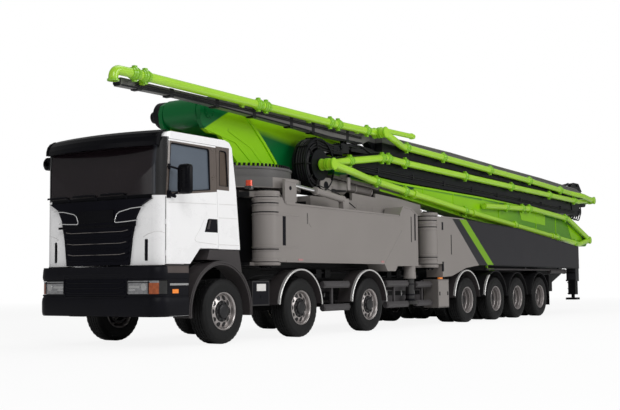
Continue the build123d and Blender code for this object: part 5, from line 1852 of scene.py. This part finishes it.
    def sections_4_and_5(self) -> None:
        """Flanges and fittings of the two upper sections."""
        flanges = Shape()
        near, far = 0.796, 0.811
        flanges.prism(self.ribbon(((5.76, 3.892), (6.51, 3.902), (8.9, 3.872), (11.77, 3.789),
            (14.52, 3.727), (16.57, 3.652), (17.45, 3.622)), 0.03), near, far)
        flanges.piece("boom_4_top_flange", BOOM_4_EDGE, "boom_4", 0.003)
        lower = Shape().prism(self.ribbon(((5.76, 3.558), (6.5, 3.533), (9.7, 3.503), (12.5, 3.453),
            (15.1, 3.403), (17.4, 3.377)), 0.033), near, far)
        lower.piece("boom_4_bottom_flange", BOOM_DARK, "boom_4", 0.003)
        stub = Shape().rod(at(1.06, 5.42, 3.945), at(1.06, 6.62, 3.955), 0.052, 28)
        stub.lathe(((0, 0.052), (0.006, 0.064), (0.05, 0.064), (0.056, 0.052)),
            at(1.06, 6.5, 3.954), ALONG, 28)
        stub.piece("line_4_stub", PIPE_PAINT, "boom_4")
        clamps = Shape()
        for aft in (-1.45, -0.75, 0.35, 1.35, 2.45, 3.15, 4.35):
            clamps.block((0.652, 0.808), (aft, aft + 0.09), (3.76 - max(0, aft) * 0.034, 3.893))
        clamps.piece("boom_5_clamps", HOSE, "boom_5", 0.006)
        edge = Shape().prism(self.ribbon(((-1.79, 3.792), (-0.8, 3.807), (0.13, 3.797),
            (1.175, 3.764), (2.75, 3.712), (3.76, 3.664), (4.93, 3.667)), 0.026), 0.797, 0.809)
        edge.piece("boom_5_flange", BOOM_DARK, "boom_5", 0.002)
        lines = Shape()
        for drop in (0, 0.028):
            lines.run(0.812, ((-1.5, 3.845 - drop), (1, 3.835 - drop), (4.9, 3.77 - drop)), 0.01, 8,
                0.3)
        lines.piece("boom_5_hoses", HOSE, "boom_5")
        Shape().prism(((4.93, 3.93), (5.14, 4), (5.36, 4.015), (5.48, 3.99), (5.36, 3.98),
            (5.14, 3.96)), 0.66, 0.78).piece("boom_5_hinge_strap", BOOM_DARK, "boom_5", 0.003)

    def hinge_2_hoses(self) -> None:
        """Hoses that loop round the front fold, held on section 2."""
        aft, height = self.hinge_2
        hoses = Shape()
        for row, radius in enumerate((0.335, 0.385, 0.435, 0.48)):
            for column in range(4):
                x = 0.595 + 0.052 * column + 0.012 * (row % 2)
                loop = [at(x, aft + radius * math.cos(a), height + radius * math.sin(a))
                    for a in (math.radians(70 + 10 * k) for k in range(21))]
                start = at(x, aft + 0.85, height + radius * 0.8)
                end = at(x, aft + 0.95, height - radius * 0.62 - 0.12)
                hoses.tube([start, *loop, end], 0.0215, 10)
        hoses.piece("hinge_2_hoses", HOSE, "boom_2")
        shield = Shape()
        shield.disc(at(0.545, aft, height), ACROSS, 0.5, 0.05, 64)
        shield.disc(at(0.805, aft, height), ACROSS, 0.29, 0.02, 48)
        shield.lathe(((-0.01, 0.47), (-0.01, 0.5), (0.01, 0.5), (0.01, 0.47)), at(0.8, aft, height),
            ACROSS, 64, True)
        shield.piece("hinge_2_hose_guides", BOOM_DARK, "boom_2")
        straps = Shape()
        for angle in (100, 140, 180, 220, 255):
            turn = math.radians(angle)
            centre = at(0.68, aft + 0.41 * math.cos(turn), height + 0.41 * math.sin(turn))
            outward = Vector((0, math.cos(turn), math.sin(turn)))
            along = Vector((0, -math.sin(turn), math.cos(turn)))
            for x in (-0.115, 0.115):
                straps.rod(centre + Vector((x, 0, 0)) - outward * 0.11, centre + Vector((x, 0, 0))
                    + outward * 0.1, 0.013, 8)
            straps.rod(centre + Vector((-0.12, 0, 0)) + outward * 0.1 + along * 0.01, centre
                + Vector((0.12, 0, 0)) + outward * 0.1 + along * 0.01, 0.011, 8)
        straps.piece("hinge_2_hose_straps", DARK_FRAME, "boom_2")
        tangle = Shape()
        for index in range(6):
            x = 0.53 + 0.048 * index
            lift = 0.035 * (index % 3)
            tangle.tube([at(x, 4.05, 3.36 + lift), at(x, 4.3, 3.53 + lift * 0.6),
                at(x, 4.62 + lift, 3.585 - lift * 0.5), at(x - 0.01, 4.98, 3.53 + lift),
                at(x, 5.3, 3.52 - lift * 0.3), at(x, 5.8, 3.56)], 0.02, 10, 0.15)
        tangle.block((0.52, 0.79), (4.18, 4.46), (3.4, 3.58))
        tangle.block((0.5, 0.76), (4.6, 5.78), (3.466, 3.56))
        tangle.prism(((4.3, 3.5), (4.45, 3.615), (4.95, 3.628), (5.5, 3.59), (5.6, 3.5)), 0.56,
            0.74)
        for index in range(5):
            tangle.disc(at(0.55 + 0.05 * index, 4.32, 3.585), UP, 0.018, 0.05, 10)
        tangle.piece("fold_valve_block", HOSE, "boom_4", 0.006)

    def tail_linkage(self) -> None:
        """Links, brackets and hoses at the rear fold between sections 3 and 4."""
        links = Shape()
        links.prism(((16.9, 3.27), (17.45, 3.33), (17.75, 3.18), (17.55, 2.98), (17, 2.95)), 0.8,
            0.822)
        links.prism(((17.3, 2.9), (17.95, 2.86), (18.15, 3.02), (17.9, 3.12), (17.35, 3.1)), 0.64,
            0.7)
        links.piece("fold_links_3_lower", BOOM_DARK, "boom_3", 0.005)
        upper = Shape()
        for near, far in ((0.655, 0.69), (0.755, 0.79)):
            upper.prism(((16.9, 3.62), (17.35, 3.8), (17.7, 3.8), (17.98, 3.58), (17.75, 3.5),
                (17.4, 3.6)), near, far)
        upper.disc(at(0.72, 17.55, 3.74), ACROSS, 0.04, 0.2, 20)
        upper.piece("fold_links_3_upper", BOOM_DARK, "boom_4", 0.005)
        hoses = Shape()
        for index in range(5):
            x = 0.52 + 0.05 * index
            hoses.run(x, ((16.7, 3.68), (17.2, 3.74 + 0.02 * (index % 2)),
                (17.55 + 0.03 * index, 3.82 - 0.02 * (index % 3)), (17.85, 3.7),
                (17.92 + 0.02 * index, 3.56)), 0.018, 10, 0.12)
        hoses.piece("hinge_3_hoses", HOSE, "boom_4")
        low = Shape()
        for index in range(4):
            x = 0.55 + 0.06 * index
            low.run(x, ((16.9, 2.98), (17.35, 2.8 - 0.03 * index), (17.8, 2.76 - 0.02 * index),
                (18.02, 2.95), (17.98, 3.12)), 0.018, 10, 0.14)
        low.piece("hinge_3_lower_hoses", HOSE, "boom_3")

    def turret(self) -> None:
        """Ribs and edges on the turret's cheeks, and hoses that rise between them."""
        ribs = Shape(both=True)
        edge = ((0.56, 3.987), (0.9, 4.002), (1.3, 3.952), (1.6, 3.832), (1.79, 3.702),
            (2.15, 3.402), (2.49, 3.082), (2.56, 2.912))
        inner = ((2.5, 2.912), (2.43, 3.06), (2.1, 3.37), (1.75, 3.66), (1.57, 3.79), (1.28, 3.905),
            (0.9, 3.952), (0.57, 3.94))
        ribs.prism(edge + inner, 0.44, 0.475)
        ribs.prism(((0.47, 3.45), (1.3, 3.3), (1.86, 2.93), (1.93, 2.93), (1.38, 3.35),
            (0.49, 3.5)), 0.448, 0.462)
        ribs.prism(((1.1, 3.48), (1.72, 3.26), (2.18, 2.93), (2.23, 2.93), (1.76, 3.3),
            (1.12, 3.52)), 0.448, 0.46)
        ribs.piece("turret_cheek_ribs", TURRET_PAINT, "turret", 0.006)
        hoses = Shape()
        for index in range(5):
            x = -0.16 + 0.08 * index
            hoses.run(x, ((1.4, 2.98), (0.95, 3.18), (0.62, 3.3), (0.45, 3.34)), 0.022, 10, 0.2)
        hoses.piece("turret_hoses", HOSE, "turret")
        riser = Shape().tube([at(-0.68, 1.6, 2.96), at(-0.68, 1.6, 3.28), at(-0.68, *MAIN_PIN)],
            0.07, 24, 0.3)
        riser.lathe(((-0.075, 0), (-0.075, 0.1), (0.068, 0.1), (0.068, 0)), at(-0.688, *MAIN_PIN),
            ACROSS, 32)
        Shape().lathe(((0, 0), (0, 0.2), (0.025, 0.225), (0.13, 0.225), (0.15, 0.2), (0.15, 0)),
            at(-0.612, 0.62, 3.77), ACROSS, 48).piece("line_1_swivel_cover", BOOM_DARK, "boom_1")
        riser.piece("turret_riser_pipe", BOOM_DARK, "turret", slot="pipe_green")

    def tip(self) -> None:
        """Flange of the delivery outlet and the guard under the tip."""
        Shape().lathe(((-0.004, 0.0635), (-0.004, 0.086), (0.022, 0.086), (0.03, 0.071)),
            at(0.905, -2.06, 3.784), UP, 40).piece("outlet_flange", CLAMP_PAINT, "boom_5")
        Shape().prism(((-1.8, 3.88), (-1.835, 3.86), (-1.835, 3.79), (-1.8, 3.772)), 0.67,
            0.79).piece("boom_tip_cap", BOOM_DARK, "boom_5", 0.008)


# ---- studio
@dataclass
class Studio:
    """Camera, lamps, floor and surroundings."""

    eye: Point = (11.076, -12.388, 0.943)
    yaw: float = 33.625
    pitch: float = 4.266
    roll: float = -0.537
    lens: float = 59.49

    def build(self) -> None:
        """Set up the studio."""
        self.camera()
        self.world()
        self.floor()
        self.lamps()

    def camera(self) -> None:
        """The camera at a low three-quarter view from the truck's left front."""
        data = bpy.data.cameras.new("studio_camera")
        data.lens = self.lens
        data.sensor_width = 36
        data.clip_end = 400
        camera = bpy.data.objects.new("studio_camera", data)
        yaw, pitch, roll = (math.radians(v) for v in (self.yaw, self.pitch, self.roll))
        forward = Vector((-math.sin(yaw) * math.cos(pitch), math.cos(yaw) * math.cos(pitch),
            math.sin(pitch)))
        right = Vector((math.cos(yaw), math.sin(yaw), 0))
        up = right.cross(forward)
        turned_right = right * math.cos(roll) + up * math.sin(roll)
        turned_up = up * math.cos(roll) - right * math.sin(roll)
        rotation = Matrix((turned_right, turned_up, -forward)).transposed().to_4x4()
        camera.matrix_world = Matrix.Translation(at(*self.eye)) @ rotation
        bpy.context.scene.collection.objects.link(camera)
        bpy.context.scene.camera = camera

    def world(self) -> None:
        """An even, near-white surrounding light."""
        world = bpy.data.worlds.new("studio_surround")
        world.use_nodes = True
        nodes = world.node_tree.nodes
        background = nodes["Background"]
        background.inputs["Color"].default_value = (1, 1, 1, 1)
        path = nodes.new("ShaderNodeLightPath")
        strength = nodes.new("ShaderNodeMix")
        strength.inputs[2].default_value = 0.27
        strength.inputs[3].default_value = 1.0
        world.node_tree.links.new(path.outputs["Is Camera Ray"], strength.inputs[0])
        world.node_tree.links.new(strength.outputs[0], background.inputs["Strength"])
        bpy.context.scene.world = world

    def floor(self) -> None:
        """A plain pale floor."""
        graph = Graph("studio_floor")
        fine = graph.noise(0.4)
        colour = graph.blend(fine.beyond(0.5, 0.6), (0.9, 0.9, 0.9), (0.93, 0.93, 0.93))
        matte = graph.node("ShaderNodeBsdfPrincipled", {}, {"Base Color": colour, "Roughness": 0.9})
        white = graph.node("ShaderNodeEmission", {}, {"Color": (1, 1, 1, 1), "Strength": 1.0})
        path = graph.node("ShaderNodeLightPath")
        reach = graph.node("ShaderNodeVectorMath", {"operation": "LENGTH"}, {0: graph.place()})
        far = Signal(graph, reach.outputs["Value"]).beyond(24, 20)
        share = Signal(graph, path.outputs["Is Camera Ray"]) * (far * 0.12 + 0.88)
        mix = graph.node("ShaderNodeMixShader", {}, {0: share, 1: matte.outputs[0],
            2: white.outputs[0]})
        material = graph.finish(mix)
        shape = bmesh.new()
        corners = [shape.verts.new(at(x, aft, -0.001)) for x, aft in ((-150, -150), (150, -150),
            (150, 170), (-150, 170))]
        shape.faces.new(corners)
        data = bpy.data.meshes.new("studio_floor")
        shape.to_mesh(data)
        shape.free()
        floor = bpy.data.objects.new("studio_floor", data)
        data.materials.append(material)
        bpy.context.scene.collection.objects.link(floor)

    def lamps(self) -> None:
        """Broad soft lamps: a key from the front left, a fill and one from above."""
        for name, place, target, size, power in (("key_lamp", (14, -12, 13), (0.5, 2, 1.6), 9,
                1500), ("side_lamp", (20, 10, 10), (0.5, 9, 2), 12, 1800),
                ("front_fill", (-6, -18, 6), (0, 0, 1.6), 8, 160),
                ("top_lamp", (0, 8, 22), (0, 8, 0), 16, 1700)):
            data = bpy.data.lights.new(name, "AREA")
            data.size = size
            data.energy = power
            lamp = bpy.data.objects.new(name, data)
            aim = at(*target) - at(*place)
            lamp.matrix_world = (Matrix.Translation(at(*place))
                @ aim.to_track_quat("-Z", "Y").to_matrix().to_4x4())
            bpy.context.scene.collection.objects.link(lamp)
        bpy.context.scene.view_settings.view_transform = "Standard"


def main() -> None:
    """Build the truck's looks, assembly by assembly."""
    logging.basicConfig(level=logging.INFO, format="%(name)s: %(message)s")
    CarriedParts().dress()
    Wheels().build()
    CabFront().build()
    CabSides().build()
    CabInside().build()
    ChassisDetails().build()
    for name, side in SIDES:
        for front in (True, False):
            Outrigger(name, side, front).build()
    OutriggerFrameDetails().build()
    BoomDetails().build()
    Studio().build()


if __name__ == "__main__":
    main()
